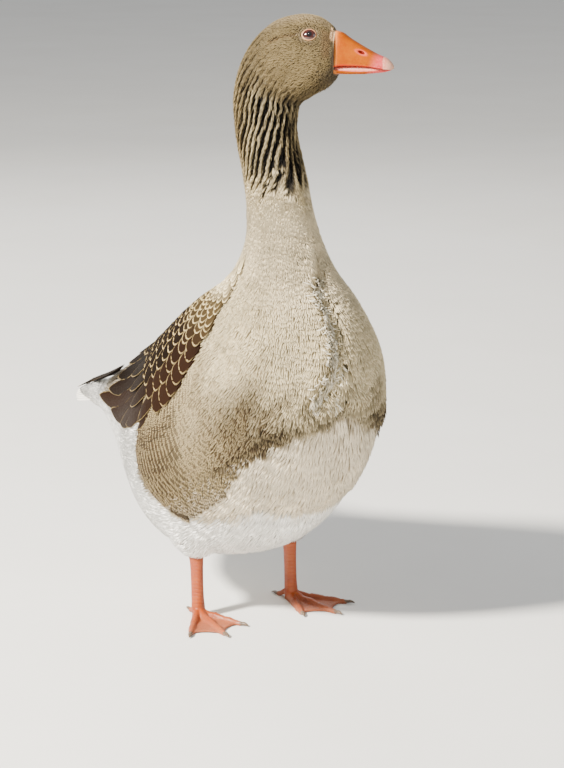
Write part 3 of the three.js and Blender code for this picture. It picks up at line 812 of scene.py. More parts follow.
eye_material, net, shader = new_material("wet_eye", 0.12, Coat_Weight=1.0, Coat_Roughness=0.03, Coat_IOR=1.4)
radius = net.read("from_pupil")
streaks = net.noise(1400, 2, 0.6, net.place())
iris = net.mix(streaks, linear(40, 12, 6), linear(66, 22, 10))
iris = net.mix(net.ramp(radius, 3.0, 3.5), linear(6, 3, 3), iris)
iris = net.mix(net.ramp(radius, 5.4, 6.4), iris, linear(22, 12, 10))
net.put(shader.inputs["Base Color"], iris)
SIDES = ((1, "left"), (-1, "right"))
for side, name in SIDES:
    point, forward, up, out = eye_frame(side)
    points, away = ball_points(EYE_BALL, point - out * EYE_SUNK * MM, (forward, up, out))
    faces = capped(BALL_RINGS, BALL_COLUMNS)
    faces = [face[:, ::-1] for face in faces] if side > 0 else faces
    make_piece(f"eyeball_{name}", points, faces, [f"eye_{name}"], eye_material,
               values={"from_pupil": away})

# %% [markdown]
# ## Bill
# The bill is horn over bone: a high orange wedge with slit nostrils, a hard pale nail at the
# tip, and a lower half that shows a pink ridged edge. Each half is drawn as cross-sections in
# the plane of the turned head, like the body, but much finer, so that the nostril pits and the
# lip along the edge are real hollows and not painted; only the dark in the middle of each pit is
# painted shade.
# %% Sections of the bill, in millimetres from the neck's axis
# ridge (forward, up), edge (forward, up), half width, fullness of the sides
UPPER_BILL = np.array([
    (78, 706, 79, 664.5, 15.0, 0.75), (84.5, 704.6, 85, 666.4, 15.4, 0.75), (89.5, 703, 91, 667, 15.2, 0.72),
    (98, 697, 99, 667.3, 14.6, 0.68), (109, 690.5, 111, 667.3, 13.7, 0.64), (119, 685, 121, 666.8, 12.8, 0.6),
    (128, 680.3, 129.5, 665.6, 12, 0.56), (136.6, 676.8, 137.6, 664.4, 10.7, 0.55)])
NAIL = np.array([
    (136.3, 677.2, 137.3, 664.2, 10.7, 0.55), (139, 676, 139.8, 663.9, 9.9, 0.55),
    (142, 674, 142.6, 663.7, 8.5, 0.55), (145, 671.3, 145.2, 663.4, 6.2, 0.55),
    (147.2, 668.4, 147, 663.5, 3.6, 0.58), (148, 666.6, 147.8, 664, 1.6, 0.6)])
LOWER_BILL = np.array([
    (79, 656.5, 79, 662.6, 13.4, 0.5), (83.4, 656.8, 83.2, 662.3, 13.6, 0.5), (97, 657, 97, 661.2, 13, 0.5),
    (115, 657.6, 115, 660.8, 11.8, 0.5), (128, 659, 128, 662, 10.6, 0.5), (138, 660.2, 138, 663, 8.2, 0.5),
    (143.5, 661.8, 143.5, 663.1, 4, 0.5), (145, 662.4, 145, 663, 1.5, 0.5)])
GUMS = np.array([
    (80, 666, 80, 662, 12.2, 0.4), (97, 667.6, 97, 661, 12.1, 0.4), (112, 667.6, 112, 660.8, 11.1, 0.4),
    (124, 666.8, 124, 661.6, 10.1, 0.4), (134, 665.4, 134, 663, 8.6, 0.4), (138, 664.8, 138, 663.6, 7, 0.4)])
NOSTRIL = {"forward": 112.5, "up": 682.4, "half_length": 4.8, "half_height": 1.7, "slope": 22, "depth": 3.0}
TOOTH = 1.5       # from one ridge of the gums to the next, mm
print("bill length:", NAIL[-1, 0] - UPPER_BILL[0, 0], "mm")


# %% Shapes of the bill
def run_through(table, count):
    """A table of sections read smoothly at this many even steps, as a column of rows."""
    return smooth_run(table, np.linspace(0, len(table) - 1, count))[:, None, :]


def bill_piece(name, sections, rings, over, under, material, nodes, lip=0.06, carve=None, flip=False):
    """A bill half in rings: over the ridge from edge to edge, then back along its underside."""
    q = run_through(sections, rings)
    turn = np.linspace(0, math.pi, over)[None, :]
    back = np.linspace(-1, 1, under + 2)[None, 1:-1]
    bow = np.sign(np.cos(turn)) * np.abs(np.cos(turn)) ** q[..., 5]
    width = np.concatenate([bow * q[..., 4], back * q[..., 4]], 1)
    share = np.concatenate([np.sin(turn), lip * (1 - back ** 2)], 1) + 0 * width
    forward, up = between(q[..., 2], q[..., 0], share), between(q[..., 3], q[..., 1], share)
    if carve is not None:
        width = carve(width, forward, up, share)
    faces = capped(rings, over + under)
    make_piece(name, head_place(width, forward, up).reshape(-1, 3),
               [face[:, ::-1] for face in faces] if flip else faces, nodes, material,
               values={"forward": forward.ravel(), "level": up.ravel(), "share": share.ravel()})


def carve_upper(width, forward, up, share):
    """Nostril pits with a low rim, a hollow round them, and a lip above the edge."""
    slope = math.radians(NOSTRIL["slope"])
    x, z = forward - NOSTRIL["forward"], up - NOSTRIL["up"]
    along, across = x * math.cos(slope) - z * math.sin(slope), x * math.sin(slope) + z * math.cos(slope)
    reach = np.hypot(along / NOSTRIL["half_length"], across / NOSTRIL["half_height"])
    pit = NOSTRIL["depth"] * (1 - smooth(reach / 1.25)) - 0.35 * np.exp(-((reach - 1.5) / 0.3) ** 2)
    hollow = 0.6 * np.exp(-(along / 11) ** 2 - (across / 5) ** 2)
    lip = 0.45 * np.exp(-((share - 0.12) / 0.05) ** 2) * smooth((forward - 84) / 6)
    on_sides = (np.abs(width) > 3) & (share > 0.02)
    return width - np.sign(width) * np.where(on_sides, pit + hollow + lip, 0)


def carve_gums(width, forward, up, share):
    """Fine upright ridges along the edge of the bill."""
    return width * (1 + 0.012 * np.sin(forward * 2 * math.pi / TOOTH))


print("bill shapes ready")


# %% Horn of the bill
def bill_colour(net):
    """Orange that turns pink towards the tip, with soft blotches; also the two noises in it."""
    forward, level = net.read("forward"), net.read("level")
    where = net.place()
    blotch = net.noise(95, 4, 0.6, where)
    fine = net.noise(420, 3, 0.6, where)
    orange = net.mix(net.ramp(blotch, 0.35, 0.68), linear(148, 72, 0), linear(138, 60, 0))
    orange = net.mix(net.times(net.ramp(fine, 0.5, 0.75), 0.3), orange, linear(160, 88, 0))
    pink = net.mix(net.ramp(fine, 0.3, 0.7), linear(176, 58, 60), linear(190, 82, 80))
    edge_shift = net.times(net.less(672.0, level), 0.35)
    front = net.plus(net.plus(forward, edge_shift), net.times(blotch, 7.0))
    colour = net.mix(net.ramp(front, 124, 135), orange, pink)
    base = net.rest(net.ramp(forward, 82.0, 86.5))
    colour = net.mix(net.times(base, 0.6), colour, linear(206, 128, 70))
    rim = net.rest(net.ramp(net.read("share"), 0.0, 0.09))
    return net.mix(net.times(rim, 0.75), colour, linear(170, 30, 22)), blotch, fine


bill_material, net, shader = new_material("bill_horn", 0.42, Subsurface_Weight=0.08, Subsurface_Scale=0.004,
                                          Specular_IOR_Level=0.05)
colour, blotch, fine = bill_colour(net)
x = net.less(net.read("forward"), NOSTRIL["forward"])
z = net.less(net.read("level"), NOSTRIL["up"])
along = net.math("DIVIDE", net.less(net.times(x, 0.93), net.times(z, 0.37)), 4.6)
across = net.math("DIVIDE", net.plus(net.times(x, 0.37), net.times(z, 0.93)), 1.7)
reach = net.plus(net.times(along, along), net.times(across, across))
colour = net.mix(net.times(net.rest(net.ramp(reach, 1.2, 4.5)), 0.7), colour, linear(200, 84, 70))
# painted shade: the middle of the nostril pit is painted dark red, for the depth of the opening
colour = net.mix(net.rest(net.ramp(reach, 0.5, 1.15)), colour, linear(92, 18, 10))
net.put(shader.inputs["Base Color"], colour)
net.put(shader.inputs["Roughness"], net.ramp(fine, 0.2, 0.8, 0.3, 0.46))
bump(net, shader, net.plus(net.times(fine, 0.5), blotch), 0.35, 0.0006)
print("finish:", bill_material.name)

# %% Nail, gums and the four pieces
nail_material, net, shader = new_material("bill_nail_horn", 0.3, Coat_Weight=0.15, Coat_Roughness=0.25)
fine = net.noise(500, 3, 0.6, net.place())
tip = net.ramp(net.read("forward"), 137.0, 146.0)
colour = net.mix(tip, linear(196, 98, 86), linear(200, 156, 122))
net.put(shader.inputs["Base Color"], net.mix(net.ramp(fine, 0.3, 0.7), colour, linear(212, 148, 126)))
bump(net, shader, fine, 0.25, 0.0005)

gum_material, net, shader = new_material("bill_gum", 0.32, Subsurface_Weight=0.1, Subsurface_Scale=0.003)
teeth = net.math("SINE", net.times(net.read("forward"), 2 * math.pi / TOOTH))
soft = net.noise(200, 2, 0.5, net.place())
colour = net.mix(net.ramp(teeth, -0.6, 0.8), linear(190, 84, 74), linear(214, 140, 124))
net.put(shader.inputs["Base Color"], net.mix(net.ramp(soft, 0.35, 0.7), colour, linear(214, 134, 116)))
bump(net, shader, teeth, 0.4, 0.0003)

bill_piece("bill_over", UPPER_BILL, 116, 72, 10, bill_material, ["bill_upper"], carve=carve_upper)
bill_piece("bill_tip_nail", NAIL, 30, 44, 8, nail_material, ["bill_nail"])
bill_piece("bill_under", LOWER_BILL, 70, 44, 12, bill_material, ["bill_lower"], lip=0.1, flip=True)
bill_piece("bill_ridged_gum", GUMS, 150, 36, 8, gum_material, ["bill_gums"], carve=carve_gums)

# %% [markdown]
# ## Legs and feet
# A goose's leg is bare below the feathers of the thigh: orange skin in small scales, with a row
# of broad scales down the front, three toes joined by a web, and a short hind toe. Toes, web
# and shank are made as overlapping closed forms and then fused into one skin by a voxel remesh,
# which rounds the corners between them as living skin does.
# %% Closed forms of a leg
LEG_X, ANKLE = 65, 13               # each leg from the middle plane, and height of the ankle, mm
TURN_OUT, SPREAD = 9, math.radians(31)
FOOT = {"middle": (80, 0), "outer": (72, 1), "inner": (64, -1)}     # length, and which way it spreads
# up, forward, half width, half depth
SHANK = np.array([(6, 1, 8.0, 9.4), (13.3, 1, 8.0, 9.2), (24, 0, 7.2, 9.2), (44, -1, 6.8, 9.4),
                  (66, -2, 7.2, 10.2), (82, -4, 9.0, 11.4), (92, -6, 8.2, 10.2)])
# share of the length, half width, height
TOE = np.array([(-0.08, 5, 7), (0.08, 6.4, 12), (0.3, 4.9, 9.2), (0.42, 5.5, 9.6), (0.6, 4.3, 7.4),
                (0.7, 4.8, 7.6), (0.88, 3.5, 5.8), (0.97, 3.1, 5.2), (1.0, 1.9, 4.2)])
# forward, underside, half width, height
HIND = np.array([(-4, 6, 4.2, 8.5), (-9.9, 4, 3.8, 8), (-14, 1.8, 3.6, 7.4), (-18, 0.1, 3.3, 6.4),
                 (-24, 0.1, 2.2, 4.2)])
# forward of the toe's end, up, half width, half height
CLAW = np.array([(-3, 2.8, 2.5, 2.2), (0.3, 2.8, 2.5, 2.1), (3.6, 3.3, 2.3, 1.9), (7, 2.9, 1.6, 1.3),
                 (9.6, 1.8, 0.7, 0.7)])


def foot_place(side, left, forward, up):
    """A place in the foot's own directions, turned out and set at its stance; millimetres."""
    turn = math.radians(side * TURN_OUT)
    x = left * math.cos(turn) + forward * math.sin(turn) + side * LEG_X
    y = left * math.sin(turn) - forward * math.cos(turn) - STANCE[side] + MIDDLE
    return np.stack([x, y, up + 0 * x], -1) * MM


def toe_place(side, along, across, heading, up):
    """A place measured along and across a toe."""
    return foot_place(side, along * math.sin(heading) + across * math.cos(heading),
                      along * math.cos(heading) - across * math.sin(heading), up)


def toe_rings(side, length, heading):
    q = run_through(TOE, 26)
    angle = np.linspace(0, math.pi, 20)[None, :]
    knuckle = 1 + 0.05 * np.sin(q[..., 0] * length * 2 * math.pi / 5)
    return toe_place(side, q[..., 0] * length, q[..., 1] * np.cos(angle) * knuckle, heading,
                     q[..., 2] * np.sin(angle) ** 0.8 * knuckle)


def hind_rings(side):
    q = run_through(HIND, 12)
    angle = np.linspace(0, math.pi, 18)[None, :]
    up = q[..., 1] + q[..., 3] * np.sin(angle) ** 0.8
    return foot_place(side, q[..., 2] * np.cos(angle), q[..., 0], up)


def claw_rings(side, length, heading, flat=1.0):
    q = run_through(CLAW, 14)
    angle = np.linspace(0, 2 * math.pi, 16, endpoint=False)[None, :]
    up = np.maximum((q[..., 1] + q[..., 3] * np.cos(angle)) * flat, 0.15)
    return toe_place(side, length + q[..., 0], q[..., 2] * np.sin(angle), heading, up)


def shank_rings(side):
    q = run_through(SHANK, 40)
    angle = np.linspace(0, 2 * math.pi, 36, endpoint=False)[None, :]
    left = q[..., 2] * np.sin(angle) + side * LEG_X
    forward = q[..., 3] * np.cos(angle) * np.where(np.cos(angle) < 0, 0.92, 1) + q[..., 1] + STANCE[side]
    return np.stack([left, -forward + MIDDLE, q[..., 0] + 0 * left], -1) * MM


print("rings of a toe and of a hind toe:", len(toe_rings(1, 80, 0)), len(hind_rings(1)))


# %% Web
def web_outline(side):
    """The scalloped edge of the web, from the outer toe to the inner one, and its heel."""
    tips = []
    for toe in ("outer", "middle", "inner"):
        length, way = FOOT[toe]
        heading = way * side * SPREAD
        tips.append(np.array([math.sin(heading), math.cos(heading)]) * length * 0.94)
    t = np.linspace(0, 1, 15)[:, None]
    edge = [a * (1 - t) ** 2 + (a + b) * 0.82 * t * (1 - t) + b * t ** 2 for a, b in zip(tips[:-1], tips[1:])]
    return np.concatenate([*edge, [[0, -3]]])


def web_slab(side):
    """The web as a closed form: rings that shrink under it, then grow again over it."""
    rim, heart = web_outline(side), np.array([0, 6.0])
    shares = np.linspace(1, 0.0, 12)
    layers = []
    for top, share in [(False, share) for share in shares] + [(True, share) for share in shares[::-1]]:
        flat = between(heart, rim, share)
        crest = 0.1 * np.sin(np.linalg.norm(flat, axis=1) * 2 * math.pi / 3.2)
        up = 4.0 - share + crest if top else 0.9 + 0 * crest
        layers.append(foot_place(side, flat[:, 0], flat[:, 1], up))
    return np.array(layers)


print("points round the web:", len(web_outline(1)))


# %% One skin from several forms
def fuse(forms, voxel):
    """One closed mesh from overlapping closed forms, remeshed and smoothed."""
    points, faces, start = [], [], 0
    for rings in forms:
        points.append(rings.reshape(-1, 3))
        for part in capped(*rings.shape[:2]):
            faces += [tuple(int(k) + start for k in face) for face in part]
        start += len(points[-1])
    mesh = bpy.data.meshes.new("fusing")
    mesh.from_pydata(np.concatenate(points).tolist(), [], faces)
    work = bpy.data.objects.new("fusing", mesh)
    bpy.context.collection.objects.link(work)
    remesh = work.modifiers.new("fuse", "REMESH")
    remesh.mode, remesh.voxel_size = "VOXEL", voxel
    rounding = work.modifiers.new("round", "SMOOTH")
    rounding.factor, rounding.iterations = 0.5, 3
    done = bpy.data.meshes.new_from_object(work.evaluated_get(bpy.context.evaluated_depsgraph_get()))
    coordinates = np.empty(len(done.vertices) * 3, np.float32)
    done.vertices.foreach_get("co", coordinates)
    squares = np.array([tuple(p.vertices) for p in done.polygons if len(p.vertices) == 4], np.int32)
    bpy.data.objects.remove(work)
    return coordinates.reshape(-1, 3).astype(float), squares


print("fusing ready")

# %% [markdown]
# The scales are drawn in the finish. Each point of the leg knows how far along its toe or shank
# it is and how near it is to the front, so broad scales can run down the fronts, with small
# round ones, from a cell pattern, on the sides and on the web.
# %% Leg finish
leg_material, net, shader = new_material("scaly_leg_skin", 0.5, Subsurface_Weight=0.05, Subsurface_Scale=0.003)
where = net.place()
cells = net.node("ShaderNodeTexVoronoi", {"Vector": where, "Scale": 420.0}, feature="DISTANCE_TO_EDGE")
small_scales = net.ramp(cells.outputs["Distance"], 0.0, 0.16)
steps = net.math("FRACT", net.read("along"))
broad_scales = net.ramp(net.math("MINIMUM", steps, net.rest(steps)), 0.0, 0.12)
front = net.read("front")
scales = net.plus(net.times(broad_scales, front), net.times(small_scales, net.rest(front)))
blotch = net.noise(60, 4, 0.6, where)
colour = net.mix(net.ramp(blotch, 0.35, 0.7), linear(142, 56, 1), linear(156, 68, 4))
colour = net.mix(net.times(net.rest(scales), 0.55), colour, linear(150, 52, 20))
height = net.node("ShaderNodeSeparateXYZ", {0: where}).outputs["Z"]
dusty = net.rest(net.ramp(height, 0.0, 0.012))
net.put(shader.inputs["Base Color"], net.mix(net.times(dusty, 0.35), colour, linear(170, 120, 90)))
net.put(shader.inputs["Roughness"], net.ramp(scales, 0, 1, 0.7, 0.42))
bump(net, shader, net.plus(scales, net.times(blotch, 0.3)), 0.7, 0.0007)

claw_material, net, shader = new_material("claw_horn", 0.35)
fine = net.noise(600, 3, 0.6, net.place())
colour = net.mix(net.ramp(fine, 0.3, 0.7), linear(70, 56, 44), linear(120, 98, 78))
net.put(shader.inputs["Base Color"], colour)
bump(net, shader, fine, 0.3, 0.0004)
print("finishes:", leg_material.name, claw_material.name)


# %% Legs and claws
def leg_values(side, points):
    """For each point: scale steps along its toe or shank, and how near it is to the front."""
    local = points / MM
    turn = math.radians(side * TURN_OUT)
    dx, dy = local[:, 0] - side * LEG_X, -local[:, 1] + MIDDLE - STANCE[side]
    left = dx * math.cos(turn) - dy * math.sin(turn)
    forward = dx * math.sin(turn) + dy * math.cos(turn)
    along, front = local[:, 2] / 4.6, smooth((dy + 2) / 6)
    best = np.full(len(points), 1e9)
    on_foot = local[:, 2] < ANKLE + 1
    for _, way in FOOT.values():
        heading = way * side * SPREAD
        run = left * math.sin(heading) + forward * math.cos(heading)
        off = np.abs(left * math.cos(heading) - forward * math.sin(heading))
        closer = on_foot & (off < best) & (run > 2)
        best = np.where(closer, off, best)
        along = np.where(closer, run / 2.6, along)
        front = np.where(closer, 1 - smooth((off - 3.2) / 1.6), front)
    return along, front * smooth((local[:, 2] - 1.5) / 1.0)


LEG_VOXEL = 0.0011
for side, name in SIDES:
    toes = [(length, way * side * SPREAD) for length, way in FOOT.values()]
    forms = [shank_rings(side), hind_rings(side), web_slab(side), *(toe_rings(side, *toe) for toe in toes)]
    points, squares = fuse(forms, LEG_VOXEL)
    points[:, 2] = np.maximum(points[:, 2], 0)
    along, front = leg_values(side, points)
    make_piece(f"leg_{name}", points, [squares], [f"shank_{name}", f"foot_{name}", f"hind_toe_{name}"],
               leg_material, values={"along": along, "front": front})
    claws = np.array([*(claw_rings(side, *toe) for toe in toes), claw_rings(side, 24, math.pi, 0.8)])
    start = np.arange(len(claws))[:, None, None] * claws[0, ..., 0].size
    squares, *ends = [(start + part).reshape(-1, part.shape[1]) for part in capped(*claws.shape[1:3])]
    ends = np.stack(ends, 1).reshape(-1, ends[0].shape[1])
    make_piece(f"claws_{name}", claws.reshape(-1, 3), [squares, ends],
               [f"claw_{toe}_{name}" for toe in ("middle", "outer", "inner", "hind")], claw_material)

# %% [markdown]
# ## How the coat is laid
# Feathers grow in rows, and each one leans back over the roots of the next row. Hair curves or
# scattered copies would be the quick way to draw them, but a model that has to leave this
# program needs real surfaces. So each feather is a thin closed form, written straight into one
# big mesh for its part of the bird. Three steps make them: choose roots in rows, walk from each
# root over the folded form in the direction in which the feather lies, and put the feather's
# points beside that path.
# %% Rows of roots
def grid_row(s):
    """Number of the grid's row at a section."""
    return np.clip(((s - TAIL_END) / STEP_S).astype(int), 0, len(grid_s) - 1)


def rows_of_roots(spacing, across, start, seed, jitter, keep):
    """Roots in rows that run round the bird, from a line of sections towards the tail.

    Spacing and across are in millimetres, over the grid; the line has a section for each angle.
    """
    random = np.random.default_rng(seed)
    spacing, across = np.broadcast_to(spacing, S.shape), np.broadcast_to(across, S.shape)
    steps = np.where(S <= start, scale_s / MM / spacing * STEP_S, 0)
    count = np.cumsum(steps[::-1], axis=0)[::-1]
    lines = np.array([np.interp(np.arange(1, int(count[0].max())), count[::-1, j], grid_s[::-1], right=np.nan)
                      for j in range(len(grid_v))]).T
    found_s, found_v = [], []
    for k, line in enumerate(lines):
        known = np.isfinite(line)
        if known.sum() < 3:
            continue
        safe = np.where(known, line, TAIL_END)
        point = form_at(safe, grid_v)[0]
        wide = across[grid_row(safe), np.arange(len(grid_v))]
        step = np.linalg.norm(np.diff(point, axis=0), axis=1) / MM / ((wide[1:] + wide[:-1]) / 2)
        step = np.where(known[1:] & known[:-1], step, 0)
        reach = np.concatenate([[0], np.cumsum(step)])
        at = np.arange(0, int(reach[-1])) + 0.5 * (k % 2) + random.uniform(-jitter, jitter, int(reach[-1]))
        found_v.append(np.interp(at, reach, grid_v))
        found_s.append(np.interp(found_v[-1], grid_v, safe))
    s, v = np.concatenate(found_s), np.concatenate(found_v)
    scale = np.interp(s, grid_s, scale_s.mean(axis=1)) / MM
    s = s + random.uniform(-jitter, jitter, len(s)) * spacing[grid_row(s), 0] / scale
    chosen = keep(s, v)
    return s[chosen], v[chosen]


print("grid row of the tail's root:", grid_row(np.array(0.0)))


# %% Walking over the form
def walk(s, v, heading, distance):
    """The place reached from (s, v) over the form; heading 0 is tailwards, in radians."""
    for _ in range(2):
        size_s, size_v = form_at(s, v)[4:]
        s = s - np.cos(heading) * distance / 2 / size_s
        v = v + np.sin(heading) * distance / 2 / size_v
    return s, v


def per_feather(count, *values):
    """Each value as an array with one number for each feather."""
    return [np.broadcast_to(np.asarray(value, float), (count,)) for value in values]


print("100 mm tailwards from the crop:", walk(np.array(8.0), np.array(90.0), 0.0, 0.1)[0].round(2))

# %% [markdown]
# A small plume, or one lock of a soft feather, is a tapering blade with a ridge: each station
# along it has a left edge, a ridge point and a right edge, and all end in one point.
# %% Plumes
def lay_plumes(s, v, heading, length, half_width, thick, root_lift, tip_lift, bend=0.0, stations=(0, 0.5),
               swell=(0.75, 1.0)):
    """Points (plume, corner, 3), and how far along and across each corner is; millimetres."""
    length, half_width, thick, root_lift, tip_lift, bend = per_feather(
        len(s), length, half_width, thick, root_lift, tip_lift, bend)
    corners, along, across = [], [], []
    done = 0.0
    for a, wide in zip((*stations, 1.0), (*swell, 0.0)):
        way = heading + bend * (a + done) / 2
        s, v = walk(s, v, way, length * (a - done) * MM)
        done = a
        point, out, tailward, around, _, _ = form_at(s, v)
        point = point + out * (between(root_lift, tip_lift, a ** 0.75) * MM)[:, None]
        sideways = tailward * np.sin(way)[:, None] + around * np.cos(way)[:, None]
        for b in (-1, 0, 1) if wide else (0,):
            ridge = (thick if wide else thick * 0.2) * (b == 0)
            corners.append(point + (sideways * (half_width * wide * b)[:, None] + out * ridge[:, None]) * MM)
            along.append(a)
            across.append(float(b))
    return np.stack(corners, 1), np.array(along), np.array(across)


def plume_faces(rings):
    """Squares and triangles of one plume with this many stations before its tip."""
    squares = [(3 * r + a, 3 * r + b, 3 * r + 3 + b, 3 * r + 3 + a)
               for r in range(rings - 1) for a, b in ((0, 1), (1, 2), (2, 0))]
    last, tip = 3 * (rings - 1), 3 * rings
    triangles = [(last, last + 1, tip), (last + 1, last + 2, tip), (last + 2, last, tip), (2, 1, 0)]
    return np.array(squares, int), np.array(triangles, int)


squares, triangles = plume_faces(2)
print("a plume of 2 stations has", 2 * len(squares) + len(triangles), "triangles")


# %% Coat pieces
def bake_places(s, v, along, across, patch, sections, angles):
    """Where each point of each feather lies on a flat unwrap of the skin: a patch at its root.

    Sections and angles are the first and the last of the unwrap, and patch is the size of one
    feather's place, as a share of the unwrap.
    """
    u = ((v - angles[0]) % 360) / (angles[1] - angles[0])
    w = (s - sections[0]) / (sections[1] - sections[0])
    u = np.clip(u, patch, 1 - patch)[:, None] + across * patch / 2
    w = np.clip(w, patch, 1 - patch)[:, None] + along * patch
    return np.stack([u, w], -1).reshape(-1, 2)


def coat_piece(name, points, shapes, along, across, tones, tint, nodes, material, places, more=()):
    """A piece of many feathers that share their faces' pattern; tones are ground and fringe."""
    count, corners = points.shape[:2]
    start = (np.arange(count) * corners)[:, None, None]
    faces = [(start + shape).reshape(-1, shape.shape[1]) for shape in shapes]
    values = {"along": np.tile(along, count), "across": np.tile(across, count), **dict(more)}
    values |= {key: np.repeat(value, corners, axis=0)
               for key, value in (("tint", tint), ("ground", tones[0]), ("fringe", tones[1]))}
    make_piece(name, points.reshape(-1, 3), faces, nodes, material, values, places)


def plume_piece(name, roots, laid, rings, tones, tint, material):
    """One coat piece from laid plumes."""
    s, v = roots
    points, along, across = laid
    places = bake_places(s, v, along - 0.5, across, 0.003, (s.min() - 0.05, s.max() + 0.05), (-180, 180))
    coat_piece(name, points, plume_faces(rings), along, across, tones, tint, [], material, places)


print("coat pieces ready")

# %% [markdown]
# ## Finish of the plumage
# All feathers share one rule of colour: dark at the root, where its neighbours shade it, then
# the ground colour, then the fringe. It is built once as a node group, and each material places
# it with its own values. The barbs are fine slanting lines on both sides of the shaft, and they
# only disturb the light.
# %% Feather groups
def root_shadow(net, given, start, end):
    """The shade at a feather's root, which fades out along it."""
    shade = given["Root Shade"]
    return net.plus(shade, net.times(net.rest(shade), net.ramp(given["Along"], start, end)))


net, given, result = new_group("feather_colour", [
    ("Ground", "Color"), ("Fringe", "Color"), ("Along", "Float"), ("Tint", "Float"), ("Fringe Start", "Float"),
    ("Fringe End", "Float"), ("Fringe Amount", "Float"), ("Root Shade", "Float")], [("Colour", "Color")])
band = net.times(net.ramp(given["Along"], given["Fringe Start"], given["Fringe End"]), given["Fringe Amount"])
colour = net.mix(band, given["Ground"], given["Fringe"])
value = net.times(root_shadow(net, given, 0.05, 0.6), net.plus(0.88, net.times(given["Tint"], 0.24)))
net.put(result["Colour"], net.dim(colour, value))
feather_colour = net.tree

net, given, result = new_group("feather_barbs", [
    ("Along", "Float"), ("Across", "Float"), ("Count", "Float"), ("Slant", "Float")], [("Height", "Float")])
slanted = net.less(net.times(given["Along"], given["Count"]),
                   net.times(net.math("ABSOLUTE", given["Across"]), given["Slant"]))
net.put(result["Height"], net.math("SINE", net.times(slanted, 2 * math.pi)))
feather_barbs = net.tree
print("groups:", feather_colour.name, feather_barbs.name)


# %% Finish of the plumes
def plume_material(name, roughness, fringe_start, fringe_end, amount, root_shade):
    """A finish for small plumes and soft locks."""
    material, net, shader = new_material(name, roughness, Sheen_Weight=0.03, Sheen_Roughness=0.5,
                                         Specular_IOR_Level=0.08)
    along, across, fringe = net.read("along"), net.read("across"), net.read("fringe", "Color")
    colour = use_group(net, feather_colour, Ground=net.read("ground", "Color"), Fringe=fringe, Along=along,
                       Tint=net.read("tint"), Fringe_Start=fringe_start, Fringe_End=fringe_end,
                       Fringe_Amount=amount, Root_Shade=root_shade)["Colour"]
    fine = net.noise(650, 3, 0.6, net.place())
    net.put(shader.inputs["Base Color"], net.mix(net.times(net.ramp(fine, 0.35, 0.75), 0.14), colour, fringe))
    net.put(shader.inputs["Roughness"], net.ramp(fine, 0.2, 0.8, roughness - 0.08, roughness + 0.1))
    height = use_group(net, feather_barbs, Along=along, Across=across, Count=9.0, Slant=2.5)["Height"]
    bump(net, shader, net.plus(height, fine), 0.25, 0.0003)
    return material


head_plume = plume_material("head_plumes", 0.72, 0.35, 1.0, 0.9, 0.68)
furrowed_plume = plume_material("furrowed_neck_plumes", 0.7, 0.12, 0.7, 1.0, 0.35)
soft_plume = plume_material("soft_plumage", 0.78, 0.66, 0.9, 0.8, 0.8)
breast_plume = plume_material("breast_plumage", 0.78, 0.74, 0.95, 0.9, 0.55)
white_plume = plume_material("white_plumage", 0.8, 0.3, 0.95, 0.8, 0.92)
barred_plume = plume_material("barred_plumage", 0.75, 0.89, 0.925, 1.0, 0.5)
print("nodes in one finish:", len(barred_plume.node_tree.nodes))

# %% [markdown]
# ## Plumes of the head
# The face has the smallest feathers of the bird, 2 to 7 mm long, so short and dense that they
# look like velvet. They point away from the bill, lie flat, shrink round the eyes and at the
# bill, and stand a little open and curly under the chin.
# %% Head
def around_eyes(s, v):
    """Distance from the middle of the nearer eye, in half sizes of its opening."""
    point = form_at(s, v)[0]
    best = np.full(np.shape(s), 99.0)
    for side, _ in SIDES:
        place, forward, up, out = eye_frame(side)
        local = (point - place) / MM
        near = np.sqrt((local @ forward / EYE_OPEN[0]) ** 2 + (local @ up / EYE_OPEN[1]) ** 2)
        best = np.where(np.abs(local @ out) < 14, np.minimum(best, near), best)
    return best


def head_roots(s, v):
    ragged_edge = 21.86 + 0.07 * wave_noise(form_at(s, v)[0], 0.012, 33)
    return (s > 15.9) & (s < ragged_edge) & (around_eyes(s, v) > 1.24)


HEAD_SECTIONS = [15.5, 17.5, 19.5, 21.2, 22]
random = np.random.default_rng(5)
size = np.interp(S, HEAD_SECTIONS, [2.0, 1.7, 1.45, 1.15, 0.9])
s, v = rows_of_roots(size, size * 0.95, 21.97, 6, 0.42, head_roots)
span = np.interp(s, HEAD_SECTIONS, [7.5, 5.6, 4.6, 3.0, 2.0]) * np.clip(around_eyes(s, v) / 2.6, 0.5, 1)
point = form_at(s, v)[0]
chin = smooth((s - 18.5) / 1.5) * smooth((side_of(v) - 108) / 18)
sway = 0.22 * wave_noise(point, 0.012, 31) + chin * random.normal(0, 0.55, len(s))
sway = sway + random.normal(0, 0.10, len(s))
span = span * (1 - 0.25 * chin) * random.uniform(0.85, 1.15, len(s))
strength, ridge = furrow_strength(s, v, point), ridge_height(s, v)
raised, lowered = in_groove(strength, ridge)
tip = lowered - 0.25 + chin * random.uniform(0, 1.3, len(s)) + random.uniform(0, 0.25, len(s))
laid = lay_plumes(s, v, sway, span, span * 0.165, span * 0.07, raised - coat_depth(s) / MM * 1.02, tip)
tint = np.clip(random.normal(0.42, 0.14, len(s)) - 0.25 * chin * (random.random(len(s)) < 0.4), 0, 1)
tones = darkened(markings(s, v, point), strength, ridge)
plume_piece("head_plumes", (s, v), laid, 2, tones, tint, head_plume)

